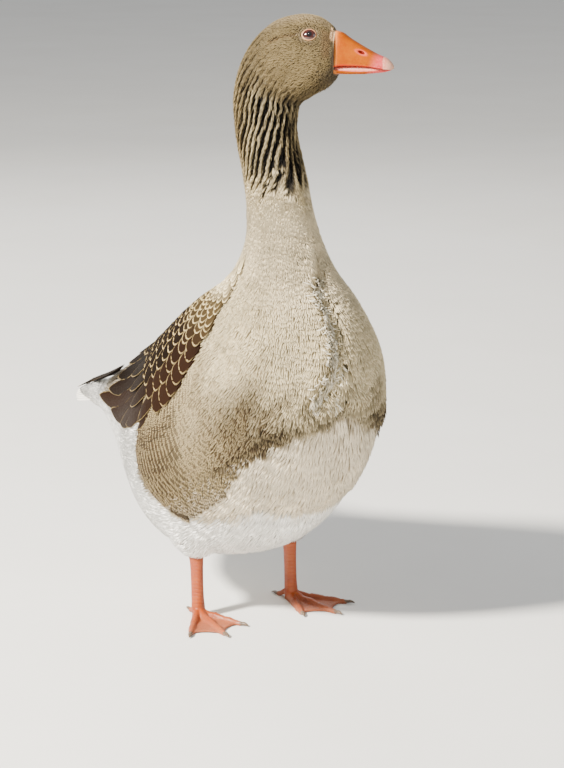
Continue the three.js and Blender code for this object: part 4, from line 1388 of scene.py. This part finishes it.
# %% [markdown]
# ## Furrowed plumes of the neck
# These plumes are narrow, and their tips clump together on the ridges, like wet hair. So every
# plume first follows the line of its furrow, and then bends towards the nearest ridge. Plumes
# that grow in a groove stay low and are coloured dark, partly for the groove's brown down and
# partly as painted shade.
# %% Upper neck
def furrow_way(s, v):
    """Heading along the furrow, and the distance round the neck to the nearest ridge."""
    step_s, step_v = 0.02, 0.6
    moved, turned, phase = (furrow_phase(*place)[0] for place in ((s + step_s, v), (s, v + step_v), (s, v)))
    by_s, by_v = (moved - phase) / step_s, (turned - phase) / step_v
    by_v = np.where(np.abs(by_v) < 0.03, np.where(by_v < 0, -0.03, 0.03), by_v)
    size_s, size_v = form_at(s, v)[4:]
    way = np.arctan2((by_s / by_v) * size_v, size_s)
    return np.clip(way, -1.1, 1.1), (np.round(phase) - phase) / by_v * size_v


random = np.random.default_rng(8)
s, v = rows_of_roots(1.9, 1.55, 17.0, 9, 0.45, lambda s, v: s > 10.9)
point = form_at(s, v)[0]
strength, ridge = furrow_strength(s, v, point), ridge_height(s, v)
way, aside = furrow_way(s, v)
span = random.uniform(7.5, 11.5, len(s))
pull = np.arctan2(aside / MM, span) * random.uniform(0.7, 1.15, len(s)) * strength
way = way * smooth(strength * 1.4 + 0.25) + pull + random.normal(0, 0.1, len(s))
raised, lowered = in_groove(strength, ridge)
tip = lowered - 0.1 - (1 - strength) * 0.2 + random.uniform(-0.3, 0.6, len(s))
laid = lay_plumes(s, v, way, span, span * (0.085 + 0.03 * (1 - strength)), span * 0.085,
                  raised - coat_depth(s) / MM, tip, stations=(0, 0.45))
tones = darkened(markings(s, v, point), strength, ridge)
plume_piece("furrowed_neck_plumes", (s, v), laid, 2, tones, random.random(len(s)),
            furrowed_plume)

# %% [markdown]
# ## Soft feathers of the lower neck, breast and belly
# A breast feather has a soft vane whose barbs come apart towards the end, so its edge looks
# like fine hair. Each one is made as a fan of narrow locks that share a root. The fan is
# rounded, because the outer locks are shorter. The pale ends of one row of fans make the faint
# arcs that cross the breast.
# %% Fans of locks
def fans_of_locks(s, v, way, length, half_width, locks, seed, ragged, rounding):
    """Roots, headings, lengths and places in the fan of the locks of each soft feather."""
    b = np.linspace(-1, 1, locks)
    jitter = np.random.default_rng(seed).normal(0, ragged, (len(s), locks))
    size_s, size_v = form_at(s, v)[4:]
    s, v, way, length, half_width, size_s, size_v = (
        value[:, None] for value in (s, v, way, length, half_width, size_s, size_v))
    start = b * half_width * 0.45 * MM
    found = (s + np.sin(way) * start / size_s, v + np.cos(way) * start / size_v,
             way + np.arctan2(half_width * 0.6, length) * b + jitter * 0.5,
             length * (1 - rounding * b ** 2) * (1 + jitter * 0.6), b + 0 * jitter)
    return [value.ravel() for value in found]


def soft_piece(name, roots, way, length, half_width, locks, seed, tip_lift, material, thick=0.3,
               ragged=0.12, bend=0.0, fatness=1.35, stations=(0, 0.5), colours=None, rounding=0.16,
               uneven=0.15):
    """A coat piece of soft feathers; sizes in millimetres, for all feathers or for each one."""
    random = np.random.default_rng(seed + 1)
    count = len(roots[0])
    way, length, half_width, tip_lift, bend = per_feather(count, way, length, half_width, tip_lift, bend)
    *lock, b = fans_of_locks(*roots, way, length, half_width, locks, seed, ragged, rounding)
    tones = markings(*roots, form_at(*roots)[0]) if colours is None else colours
    half_width, tip_lift, bend, *tones = (
        np.repeat(value, locks, axis=0) for value in (half_width, tip_lift, bend, *tones))
    width = half_width / locks * fatness
    lift = tip_lift - 3 * uneven * b ** 2 + random.normal(0, uneven, len(b))
    laid = lay_plumes(*lock, width, width * thick, coat_depth(lock[0]) / MM * -0.95, lift, bend, stations,
                      (0.8, 1.0, 0.8)[:len(stations)])
    tint = np.repeat(random.normal(0.5, 0.16, count), locks) + random.normal(0, 0.16, len(b))
    plume_piece(name, lock[:2], laid, len(stations), tones, np.clip(tint, 0, 1), material)


print("fans of locks ready")

# %% [markdown]
# Where the two sides of the neck and breast meet, the feathers lean towards the crease and lift.
# %% Lower neck
NECK_ARCS = np.interp(side_of(grid_v), [0, 58, 79, 100, 124, 139, 180], [0.15, 0, -0.14, 0.04, 0.3, 0.5, 0.5])


def below_furrows(s, v):
    """Roots down to the breast, thinned out upwards where the furrows begin."""
    chance = np.random.default_rng(13).random(len(s))
    above_breast = s > 9.2 + np.interp(v, grid_v, NECK_ARCS)
    return above_breast & (chance > 1.5 * furrow_strength(s, v, form_at(s, v)[0]))


def crease_pull(s, v):
    """How near a feather is to the crease, and the turn of heading that leads to it."""
    line = np.interp(s, CREASE[::-1, 0], CREASE[::-1, 1])
    away = ((v - line + 180) % 360 - 180) * form_at(s, v)[5] / MM
    near = np.exp(-(away / 13) ** 2) * smooth((10.7 - s) / 0.5) * smooth((s - 7.7) / 0.4)
    return near, near * np.sign(-away)


random = np.random.default_rng(13)
s, v = rows_of_roots(np.interp(S, [9, 10, 12], [5.4, 4.2, 3.4]), np.interp(S, [9, 10, 12], [5.2, 4.2, 3.6]),
                     NECK_ARCS * 0.5 + 12.3, 14, 0.3, below_furrows)
near, lean = crease_pull(s, v)
length = np.interp(s, [9, 10, 12], [16, 13, 11]) * random.uniform(0.94, 1.06, len(s))
sway = 0.1 * wave_noise(form_at(s, v)[0], 0.03, 41) + random.normal(0, 0.03, len(s))
lift = random.uniform(-0.15, 0.15, len(s)) + near * random.uniform(0, 3, len(s))
soft_piece("low_neck_feathers", (s, v), sway + lean * 0.4, length, length * 0.34, 6, 15, lift,
           soft_plume, uneven=0.05, thick=0.2)

# %% [markdown]
# The breast follows with longer fans. Near the crease they lean into it from both sides and
# stand up, so that the crease is a crest of curly white tips. At the lower edge of the breast
# they hang loose over the belly. The belly and the hindquarters are softer and white.
# %% Breast
def flank_front(v):
    """Section where the flank begins, under the last feathers of the breast."""
    return np.interp(side_of(v), [54, 59, 70, 76, 84, 100, 114, 124],
                     [8.4, 7.85, 7.0, 6.45, 6.2, 6.0, 5.95, 6.2])


def in_wing(s, v, margin=4.0):
    side = side_of(v)
    return (s < 8.8) & (s > 0.6) & (side > wing_top(s) - 30) & (side < wing_low(s) - margin)


def on_breast(s, v):
    side = side_of(v)
    lower = np.where(side > 114, breast_end(side), flank_front(side) - 0.25)
    return (s > lower) & ~in_wing(s, v) & ((side > 50) | (s > 8.7))


def halves(name, v, *seeds):
    """Name, chosen feathers and seed of the left and the right half of a piece."""
    return (f"{name}_left", v > 0, seeds[0]), (f"{name}_right", v <= 0, seeds[1])


random = np.random.default_rng(20)
s, v = rows_of_roots(np.interp(S, [5.5, 7, 8.4, 9.6], [8.2, 7.6, 6.8, 5.8]),
                     np.interp(S, [5.5, 7, 9.6], [8, 7.2, 5.4]), NECK_ARCS + 9.5, 21, 0.22, on_breast)
side = side_of(v)
near, lean = crease_pull(s, v)
low = smooth((breast_end(side) + 1.0 - s) / 0.9) * smooth((side - 112) / 12)
length = np.interp(s, [6, 8, 9.7], [24, 20, 15]) * random.uniform(0.97, 1.03, len(s)) * (1 + 0.15 * low)
sway = 0.14 * wave_noise(form_at(s, v)[0], 0.05, 42) + random.normal(0, 0.04, len(s)) + lean * 0.75
sway = sway + low * random.normal(0, 0.25, len(s))
lift = random.uniform(-0.2, 0.2, len(s)) + near * random.uniform(1, 5, len(s))
lift = lift + low * random.uniform(0, 3.5, len(s))
for name, half, seed in halves("breast_feathers", v, 22, 24):
    soft_piece(name, (s[half], v[half]), sway[half], length[half], length[half] * 0.34, 8, seed, lift[half],
               breast_plume, ragged=0.1, fatness=1.3, stations=(0, 0.5, 0.85), rounding=0.12,
               uneven=0.16)

# %% [markdown]
# Along the crease the ends of the feathers curl up into a crest of white tips.
# %% Crest of the crease
random = np.random.default_rng(24)
CREST_TIPS = 150
at = random.uniform(0.8, len(CREASE) - 1.2, CREST_TIPS)
s, v = (np.interp(at, np.arange(len(CREASE)), CREASE[:, k]) for k in (0, 1))
v = v + random.normal(0, 3.5, CREST_TIPS)
pale = [np.tile(tone, (CREST_TIPS, 1)) for tone in (linear(226, 214, 186), linear(250, 242, 222))]
way, length, lift, bend = (draw(*ends, CREST_TIPS) for draw, ends in (
    (random.normal, (0.75, 0.35)), (random.uniform, (13, 20)), (random.uniform, (2.5, 7.5)),
    (random.uniform, (-1.6, 0.9))))
soft_piece("crease_crest", (s, v), way, length, 3.2, 5, 25, lift, white_plume, bend=bend,
           stations=(0, 0.4, 0.75), ragged=0.3, colours=pale)


# %% Belly and hindquarters
def on_belly(s, v):
    side = side_of(v)
    ahead = np.where(side > 112, breast_end(side) + 0.15, flank_rear(side) + 0.2)
    return (s < ahead) & (s > -3.6) & (side > 58) & ~in_wing(s, v, -1.0)


s, v = rows_of_roots(np.interp(S, [-4, 0, 4, 8], [6, 9, 11, 10]), np.interp(S, [-4, 0, 4, 8], [7, 9, 10.5, 10]),
                     8.3, 26, 0.3, on_belly)
sway = 0.12 * wave_noise(form_at(s, v)[0], 0.06, 43) + random.normal(0, 0.06, len(s))
length = np.interp(s, [-4, 0, 4], [18, 24, 27]) * random.uniform(0.92, 1.08, len(s))
for name, half, seed in halves("belly_feathers", v, 27, 29):
    soft_piece(name, (s[half], v[half]), sway[half], length[half], length[half] * 0.36, 7, seed,
               random.uniform(-0.2, 0.2, half.sum()), white_plume, fatness=1.5, thick=0.2,
               uneven=0.1)

# %% [markdown]
# ## Broad vanes
# The feathers of the flank, the back, the wings and the tail keep a firm vane with a clear
# outline. Each one is a closed form: an arched upper face, a keel under it, and a thin rim that
# both share. Every point knows its distance to the rim, so the pale border has the same width
# all round the feather, however long the feather is.
# %% Shape of a vane
ACROSS = np.array([-1, -0.82, -0.45, 0, 0.45, 0.82, 1.0])
SHAFT = 3                                            # number of the middle point


def vane_outline(stations, tip_start, squareness, root_width=0.4):
    """Half width at each station, as a share of the widest."""
    base = between(root_width, 1, smooth(stations / 0.35))
    t = np.clip((stations - tip_start) / (1 - tip_start), 0, 1)
    return base * np.maximum((1 - t ** squareness) ** (1 / squareness), 0.1)


def rim_distance(stations, shares, length, half_width):
    """Distance in millimetres from each point of the vane's grid to its outline."""
    fine = np.linspace(0, 1, 80)
    edge = np.interp(fine, stations, shares) * half_width
    outline = np.concatenate([np.stack([fine * length, edge], 1), np.stack([fine * length, -edge], 1),
                              np.stack([np.full(9, length), np.linspace(-1, 1, 9) * edge[-1]], 1)])
    grid = np.stack([np.repeat(stations * length, len(ACROSS)),
                     (shares[:, None] * ACROSS * half_width).ravel()], 1)
    away = np.linalg.norm(grid[:, None] - outline, axis=-1).min(1)
    return away.reshape(len(stations), len(ACROSS))


def vane_faces(rings):
    """Corner numbers of one vane: an upper grid, a keel line under it, and the two ends."""
    c = len(ACROSS)
    keel = rings * c
    squares, triangles = [], []
    for r in range(rings - 1):
        squares += [(r * c + k, r * c + k + 1, (r + 1) * c + k + 1, (r + 1) * c + k) for k in range(c - 1)]
        squares += [(r * c, (r + 1) * c, keel + r + 1, keel + r),
                    (keel + r, keel + r + 1, (r + 1) * c + c - 1, r * c + c - 1)]
    for r, turn in ((0, -1), (rings - 1, 1)):
        triangles += [(r * c + k, r * c + k + 1, keel + r)[::turn] for k in range(c - 1)]
    return np.array(squares), np.array(triangles)


def vane_ring(s, v, heading, half_width, wide, lift, arch, thick, wave=0.0):
    """Upper points and keel point of vanes at one station; sizes in millimetres."""
    size_s, size_v = form_at(s, v)[4:]
    reach = half_width[:, None] * wide * ACROSS * MM
    place, out = form_at(s[:, None] + np.sin(heading)[:, None] * reach / size_s[:, None],
                         v[:, None] + np.cos(heading)[:, None] * reach / size_v[:, None])[:2]
    crown = arch * half_width[:, None] * (1 - ACROSS ** 2) * (0.4 + 0.6 * wide)
    upper = place + out * (lift[:, None] + crown + wave)[..., None] * MM
    keel = place[:, SHAFT] + out[:, SHAFT] * (lift + crown[:, SHAFT] - thick)[:, None] * MM
    return upper, keel


def vane_piece(name, roots, laid, stations, shares, length, half_width, tones, tint, material, patch,
               sections, angles, nodes=()):
    """One coat piece from laid vanes; length and half width in millimetres."""
    upper, keel = laid
    count, rings = upper.shape[:2]
    length, half_width = per_feather(count, length, half_width)
    rim = rim_distance(stations, shares, length.mean(), half_width.mean())
    rim = np.concatenate([rim.ravel(), rim[:, SHAFT]])
    along = np.concatenate([np.repeat(stations, len(ACROSS)), stations])
    across = np.concatenate([np.tile(ACROSS, rings), np.zeros(rings)])
    more = {"rim": ((half_width / half_width.mean())[:, None] * rim).ravel(),
            "reach": np.repeat(length / 10, len(rim))}
    coat_piece(name, np.concatenate([upper.reshape(count, -1, 3), keel], 1), vane_faces(rings), along, across,
               tones, tint, nodes, material,
               bake_places(*roots, 0.5 - along, across, patch, sections, angles), more)


print("faces of a vane with 9 stations:", sum(len(part) for part in vane_faces(9)))

# %% Finish of the vanes
net, given, result = new_group("vane_pattern", [
    ("Ground", "Color"), ("Fringe", "Color"), ("Rim", "Float"), ("Along", "Float"), ("Across", "Float"),
    ("Tint", "Float"), ("Border", "Float"), ("Softness", "Float"), ("Shaft", "Float"), ("Root Shade", "Float"),
    ("Edge From", "Float")],
    [("Colour", "Color"), ("Height", "Float")])
where = net.place()
uneven = net.times(net.less(net.noise(220, 3, 0.6, where), 0.5), 1.6)
rim = net.plus(given["Rim"], net.times(uneven, given["Border"]))
edge = net.rest(net.ramp(rim, given["Border"], net.plus(given["Border"], given["Softness"])))
outer = net.ramp(net.less(given["Along"], given["Edge From"]), 0.0, 0.3)
colour = net.mix(net.times(edge, outer), given["Ground"], given["Fringe"])
shaft = net.rest(net.ramp(net.math("ABSOLUTE", given["Across"]), 0.015, 0.06))
colour = net.mix(net.times(shaft, given["Shaft"]), colour, linear(30, 24, 18))
streak = net.times(net.noise(420, 2, 0.6, where), 0.14)
bright = net.plus(net.plus(0.8, net.times(given["Tint"], 0.26)), streak)
net.put(result["Colour"], net.dim(colour, net.times(root_shadow(net, given, 0.2, 0.75), bright)))
net.put(result["Height"], net.times(shaft, 1.5))
vane_pattern = net.tree


def vane_material(name, border, softness, shaft, roughness, root_shade, barbs, edge_from=0.3):
    material, net, shader = new_material(name, roughness, Specular_IOR_Level=0.03)
    along, across = net.read("along"), net.read("across")
    ground, fringe = net.read("ground", "Color"), net.read("fringe", "Color")
    pattern = use_group(net, vane_pattern, Ground=ground, Fringe=fringe, Rim=net.read("rim"), Along=along,
                        Across=across, Tint=net.read("tint"), Border=border, Softness=softness, Shaft=shaft,
                        Root_Shade=root_shade, Edge_From=edge_from)
    net.put(shader.inputs["Base Color"], pattern["Colour"])
    run = net.times(along, net.read("reach"))
    lines = use_group(net, feather_barbs, Along=run, Across=across, Count=barbs, Slant=barbs * 0.9)["Height"]
    fine = net.noise(500, 3, 0.6, net.place())
    net.put(shader.inputs["Roughness"], net.ramp(fine, 0.2, 0.8, roughness - 0.08, roughness + 0.1))
    height = net.plus(net.times(lines, 0.35), net.plus(fine, pattern["Height"]))
    bump(net, shader, height, 0.3, 0.0004)
    return material


wing_vane = vane_material("wing_vanes", 1.3, 0.7, 0.4, 0.7, 0.5, 4.0, edge_from=0.6)
tertial_vane = vane_material("tertial_vanes", 0.7, 0.6, 0.5, 0.55, 0.7, 4.0)
quill_vane = vane_material("quill_vanes", 0.35, 0.5, 0.6, 0.5, 0.85, 5.0)
tail_vane = vane_material("tail_vanes", 2.4, 1.6, 0.4, 0.58, 0.75, 4.0)
print("nodes in the vane pattern:", len(vane_pattern.nodes))

# %% [markdown]
# ## Flanks
# The flank feathers are brown with a cream end, and broad enough for the ends of one row to make
# one bar. The rows are set out from the rear edge, so that every bar runs parallel to it, and
# each feather lies square to its row, so that they fan out over the rounded flank.
# %% Flank
def row_way(line, s, v):
    """Heading square to rows that run parallel to a line of sections given at each angle."""
    size_s, size_v = form_at(s, v)[4:]
    return np.arctan2(np.interp(v, grid_v, np.gradient(line, STEP_V)) * size_s, size_v)


def flank_roots(s, v):
    from_edge = (s - flank_rear(v)) * form_at(s, v)[4] / MM
    return (from_edge > 22) & (s < flank_front(v) + 0.5) & (side_of(v) > 63) & (side_of(v) < 119)


def towards_breast(tones, share):
    """Tones mixed with those of the breast, where a region meets it."""
    return [between(tone, breast, share) for tone, breast in zip(tones, TINTS["breast"])]


random = np.random.default_rng(30)
gap = np.interp(S - flank_rear(V), [0, 0.5, 2.2], [0.098, 0.108, 0.13]) * scale_s / MM
s, v = rows_of_roots(gap, 9.5, flank_rear(grid_v) + 2.9, 31, 0.05, flank_roots)
point = form_at(s, v)[0]
way = 0.75 * row_way(flank_rear(grid_v), s, v) + 0.06 * wave_noise(point, 0.06, 44)
ground, fringe = markings(s, v, point)
rear = 1 - smooth((s - flank_rear(v) - 1.4) / 2.0)[:, None]
front = 0.12 * smooth((s - flank_front(v) + 1.1) / 1.2)[:, None]
ground, fringe = towards_breast((between(ground, linear(48, 34, 18), rear), fringe), front)
fringe = between(fringe, linear(170, 150, 106), 0.7 * rear)
for name, half, seed in halves("flank_feathers", v, 32, 34):
    length, lift = 30 * random.uniform(0.98, 1.02, half.sum()), random.uniform(-0.1, 0.1, half.sum())
    soft_piece(name, (s[half], v[half]), way[half], length, 10, 10, seed, lift, barred_plume,
               ragged=0.03, fatness=1.35, stations=(0, 0.5, 0.9), rounding=0.04, uneven=0.08,
               colours=(ground[half], fringe[half]))

# %% [markdown]
# ## Back and wings
# The folded wing lies on the side of the trunk. From the shoulder back come the scapular
# feathers, dark brown with cream ends that line up as bands; under them are the coverts, and
# behind them the long tertials, whose ragged ends lie over the rump. Rows start at the shoulder
# and bow backwards in the middle of the wing.
# %% Rows and colours of the wing
WING_DARK, WING_RED, WING_EDGE = linear(20, 13, 8), linear(31, 18, 10), linear(164, 142, 99)
SHOULDER_GROUND, SHOULDER_EDGE = linear(62, 50, 31), linear(170, 152, 112)
WING_SLANT = 0.042                                   # sections per degree
SHORT = np.array([0, 0.25, 0.5, 0.68, 0.8, 0.89, 0.95, 0.985, 1.0])
broad_tip = vane_outline(SHORT, 0.8, 2.5)


def wing_row(s, v):
    """The same number for all roots of one slanting row."""
    return s - WING_SLANT * (side_of(v) - 37)


def wing_colours(s, v):
    """Ground and border of the wing's feathers: paler at the shoulder, redder low down."""
    shoulder = smooth((wing_row(s, v) - 6.2) / 1.6)[:, None]
    low = smooth((side_of(v) - (wing_low(s) - 24)) / 10)[:, None]
    ground = between(between(WING_DARK, WING_RED, low), SHOULDER_GROUND, shoulder)
    fringe = between(WING_EDGE * (1 - 0.35 * low), SHOULDER_EDGE, shoulder)
    return towards_breast((ground, fringe), 0.8 * smooth((wing_row(s, v) - 7.9) / 1.1)[:, None])


def in_rows_of_wing(s, v):
    side, row = side_of(v), wing_row(s, v)
    lowest = wing_low(s) - np.interp(row, [5.5, 7.5], [6, 2])
    return (row > 4.15) & (side > wing_top(s) - 6) & (side < lowest)


def lay_vanes(s, v, way, length, half_width, root_lift, tip_lift, stations, shares, arch, ripple, seed):
    """Upper points and keels of vanes that follow the form; sizes in millimetres."""
    wobble = np.random.default_rng(seed).uniform(0, 6.3, (len(s), 1))
    rings, done = [], 0.0
    for a, wide in zip(stations, shares):
        s, v = walk(s, v, way, length * (a - done) * MM)
        done = a
        wave = ripple * np.sin(ACROSS * 5 + a * 7 + wobble) * a
        lift = between(root_lift, tip_lift, a ** 0.8)
        rings.append(vane_ring(s, v, way, half_width, wide, lift, arch, 0.35, wave))
    return [np.stack(part, 1) for part in zip(*rings)]


print("row of the wing's middle:", wing_row(6.0, np.array(60.0)))

# %% Scapulars and coverts
random = np.random.default_rng(40)
slanting = np.minimum(9.4 + WING_SLANT * (side_of(grid_v) - 37), 11)
row = wing_row(S, V)
gap = np.interp(row, [3.5, 4.5, 5.5, 6.5, 7.5, 8.8], [0.5, 0.42, 0.35, 0.27, 0.2, 0.17]) * scale_s / MM
WING_ROWS = [4, 5.5, 7, 8.6]
s, v = rows_of_roots(gap, np.interp(row, WING_ROWS, [25, 22, 15, 10]), slanting, 41, 0.06, in_rows_of_wing)
row = wing_row(s, v)
width = np.interp(row, WING_ROWS, [17, 15.5, 10.5, 7])
length = np.interp(row, WING_ROWS, [50, 44, 32, 24]) * random.uniform(0.97, 1.03, len(s))
way = 0.5 * row_way(slanting, s, v) + 0.04 * wave_noise(form_at(s, v)[0], 0.1, 45)
lift = random.uniform(2.0, 2.4, len(s))
laid = lay_vanes(s, v, way, length, width, -3.5, lift, SHORT, broad_tip, 0.06, 0.25, 42)
vane_piece("wing_row_feathers", (s, v), laid, SHORT, broad_tip, length, width, wing_colours(s, v),
           random.random(len(s)), wing_vane, 0.03, (0.0, 9.5), (-90.0, 90.0))

# %% [markdown]
# The tertials and the tips of the secondaries are as long as a hand. Their roots lie side by
# side under the last rows of scapulars, and their ends fan out along the hind edge of the wing.
# %% Tertials
LONG = np.array([0, 0.15, 0.32, 0.5, 0.66, 0.79, 0.88, 0.94, 0.975, 1.0])
long_tip = vane_outline(LONG, 0.66, 1.7, 0.55)
TERTIALS = [  # root (section, angle), tip (section, angle), half width in millimetres, lift of the tip
    ((5.4, 40), (2.7, 47), 11, 3.2), ((5.5, 47), (3.0, 57), 11, 3.0), ((5.6, 54), (3.4, 66), 11, 2.8),
    ((5.7, 60), (4.0, 73), 11, 2.6),
    ((4.6, 14), (1.9, 14), 13, 2.6), ((4.6, 22), (1.6, 27), 13, 2.5), ((4.7, 29), (1.3, 41), 13, 2.3),
    ((4.8, 36), (0.9, 58), 12.5, 2.1), ((4.9, 43), (0.45, 76), 12.5, 1.9), ((5.0, 50), (1.2, 80), 12.5, 1.7),
    ((5.1, 55), (2.1, 78), 12, 1.5), ((5.2, 60), (3.1, 76), 12, 1.3), ((5.4, 64), (3.9, 77), 11, 1.1)]


def lay_between(roots, tips, half_width, root_lift, tip_lift, stations, shares, arch):
    """Vanes whose middle line runs straight, on the unrolled form, from a root to a tip."""
    rings = []
    for a, wide in zip(stations, shares):
        s, v = between(roots, tips, a).T
        size_s, size_v = form_at(s, v)[4:]
        heading = np.arctan2((tips[:, 1] - roots[:, 1]) * size_v, (roots[:, 0] - tips[:, 0]) * size_s)
        rings.append(vane_ring(s, v, heading, half_width, wide, between(root_lift, tip_lift, a), arch, 0.4))
    return [np.stack(part, 1) for part in zip(*rings)]


for side, name in SIDES:
    random = np.random.default_rng(44 + side)
    roots = np.array([(s + random.normal(0, 0.05), v) for (s, v), _, _, _ in TERTIALS])
    tips = np.array([(s + random.normal(0, 0.10), v + random.normal(0, 0.6)) for _, (s, v), _, _ in TERTIALS])
    width, lift = (np.array([row[k] for row in TERTIALS], float) for k in (2, 3))
    low = smooth((tips[:, 1] - 50) / 24)[:, None]
    tones = (between(WING_DARK, WING_RED, low) * 0.85, np.tile(WING_EDGE * 0.7, (len(width), 1)))
    roots, tips = roots * (1, side), tips * (1, side)
    laid = lay_between(roots, tips, width, -3.0, lift, LONG, long_tip, 0.08)
    vane_piece(f"tertials_{name}", roots.T, laid, LONG, long_tip, 105.0, width, tones,
               random.random(len(width)), tertial_vane, 0.09, (4.0, 6.5),
               (0.0, 90.0) if side > 0 else (-90.0, 0.0))

# %% [markdown]
# The primaries are the longest feathers of the wing. Only their stiff, nearly black ends show.
# They leave the tertials low over the rump and cross above the tail, the left over the right.
# %% Primaries
QUILLS = 6
QUILL_PATH = np.array([  # left, forward, up
    (29, -236, 258), (27, -268, 242.5), (22, -296, 233.5), (14, -330, 223), (5, -362, 210.5),
    (-5, -394, 194.5)])
pointed_tip = vane_outline(LONG, 0.45, 1.35, 0.7)


def free_vanes(middles, ups, half_width, shares, arch):
    """Vanes along free paths, from middles and ups at each station; half width in millimetres."""
    forward = np.gradient(middles, axis=1)
    sideways = np.cross(ups, forward)
    sideways /= np.linalg.norm(sideways, axis=-1, keepdims=True)
    out = np.cross(forward, sideways)
    out /= np.linalg.norm(out, axis=-1, keepdims=True)
    half = (half_width[:, None] * shares * MM)[..., None]
    reach, crown = half * ACROSS, arch * half * (1 - ACROSS ** 2)
    upper = middles[:, :, None] + sideways[:, :, None] * reach[..., None] + out[:, :, None] * crown[..., None]
    return upper, middles + out * (arch * half - 0.45 * MM)


def in_frame(left, forward, up):
    """A path in the frame, from millimetres left, forward and up."""
    return np.stack([left, -forward + MIDDLE, up], -1) * MM


for side, name in SIDES:
    middles = []
    for inner in range(QUILLS)[::-1]:
        path = smooth_run(QUILL_PATH, LONG * (0.98 - 0.11 * inner) * (len(QUILL_PATH) - 1))
        rise = path[:, 2] + (4.6 if side > 0 else 0) * smooth(LONG * 2) + 0.55 * inner + 1.2
        middles.append(in_frame(side * (path[:, 0] + inner * 1.6 * LONG), path[:, 1], rise))
    middles = np.array(middles)
    ups = np.broadcast_to([side * 0.37, 0, 0.93], middles.shape)
    width = np.linspace(9.5, 7.0, QUILLS)
    tones = [np.tile(tone, (QUILLS, 1)) for tone in (linear(34, 28, 24), linear(120, 104, 84))]
    vane_piece(f"primaries_{name}", (np.linspace(0.5, 3.5, QUILLS), np.full(QUILLS, side * 20.0)),
               free_vanes(middles, ups, width, pointed_tip, 0.12), LONG, pointed_tip, 150.0, width, tones,
               np.random.default_rng(50 + side).random(QUILLS), quill_vane, 0.16, (0.0, 4.0),
               (side * 20.0 - 30, side * 20.0 + 30), [f"wing_quills_{name}"])

# %% [markdown]
# ## Tail
# Eighteen stiff feathers make a short rounded fan, grey brown with wide white borders, the
# outer ones nearly white. White coverts hide their bases above and below.
# %% Tail fan
fan = np.linspace(-1, 1, 18)
tail_tip = vane_outline(LONG, 0.62, 2.0, 0.6)
middles, ups = [], []
for x in fan:
    root = np.array([x * 17, -290, 214 - 6 * abs(x)])
    tip = np.array([x * 31, -377 + 32 * abs(x) ** 2.2, 203.5 - 3.0 * abs(x) + 3.0 * (1 - x * x)])
    path = between(root, tip, LONG[:, None])
    path[:, 2] += 2.0 * np.sin(LONG * math.pi) - 2.1 * abs(x) * LONG
    middles.append(in_frame(*path.T))
    ups.append(np.tile([x * 0.35, 0, 1], (len(LONG), 1)))
width = np.full(len(fan), 9.0)
outer = smooth((np.abs(fan) - 0.55) / 0.35)[:, None]
tones = (between(linear(92, 82, 72), linear(226, 222, 212), outer),
         np.tile(linear(236, 232, 222), (len(fan), 1)))
vane_piece("tail_fan", (np.full(len(fan), -2.0), fan * 80),
           free_vanes(np.array(middles), np.array(ups), width, tail_tip, 0.1), LONG, tail_tip, 92.0, width, tones,
           np.linspace(0.3, 0.7, len(fan)), tail_vane, 0.055, (-3.0, -1.0), (-90.0, 90.0))

# %% [markdown]
# The back shows only as a strip between the wings, with the rump behind it and white coverts
# over the base of the tail.
# %% Mantle, rump and upper tail coverts
def on_back(s, v):
    side = side_of(v)
    return (s > -3.4) & ((side < wing_top(s) + 6) | ((s < 1.2) & (side < 66)) | ((s > 8.4) & (side < 56)))


random = np.random.default_rng(60)
s, v = rows_of_roots(np.interp(S, [-4, 0, 3, 9], [7, 9, 10, 7.5]), np.interp(S, [-4, 0, 3, 9], [7, 8, 9, 7]),
                     9.5, 61, 0.25, on_back)
length = np.interp(s, [-4, 0, 4, 9.5], [17, 22, 22, 17]) * random.uniform(0.94, 1.06, len(s))
way = 0.1 * wave_noise(form_at(s, v)[0], 0.06, 47) + random.normal(0, 0.05, len(s))
soft_piece("back_feathers", (s, v), way, length, length * 0.38, 8, 62, random.uniform(-0.3, 0.5, len(s)),
           soft_plume, fatness=1.4)

# %% [markdown]
# ## Floor
# A plain pale floor takes the goose's shadow. It is wide enough to have no visible edge, and a
# faint unevenness keeps it from looking like paper.
# %% Floor
FLOOR_HALF = 60
floor_mesh = bpy.data.meshes.new("pale_floor")
floor_mesh.from_pydata([(x * FLOOR_HALF, y * FLOOR_HALF, 0) for x, y in ((-1, -1), (1, -1), (1, 1), (-1, 1))],
                       [], [(0, 1, 2, 3)])
floor = bpy.data.objects.new("pale_floor", floor_mesh)
bpy.context.collection.objects.link(floor)
floor_material, net, shader = new_material("pale_floor_paint", 0.8)
cloudy = net.noise(3.0, 4, 0.6, net.place())
net.put(shader.inputs["Base Color"], net.mix(cloudy, linear(222, 219, 213), linear(232, 230, 225)))
floor_mesh.materials.append(floor_material)
print("floor:", 2 * FLOOR_HALF, "m wide")
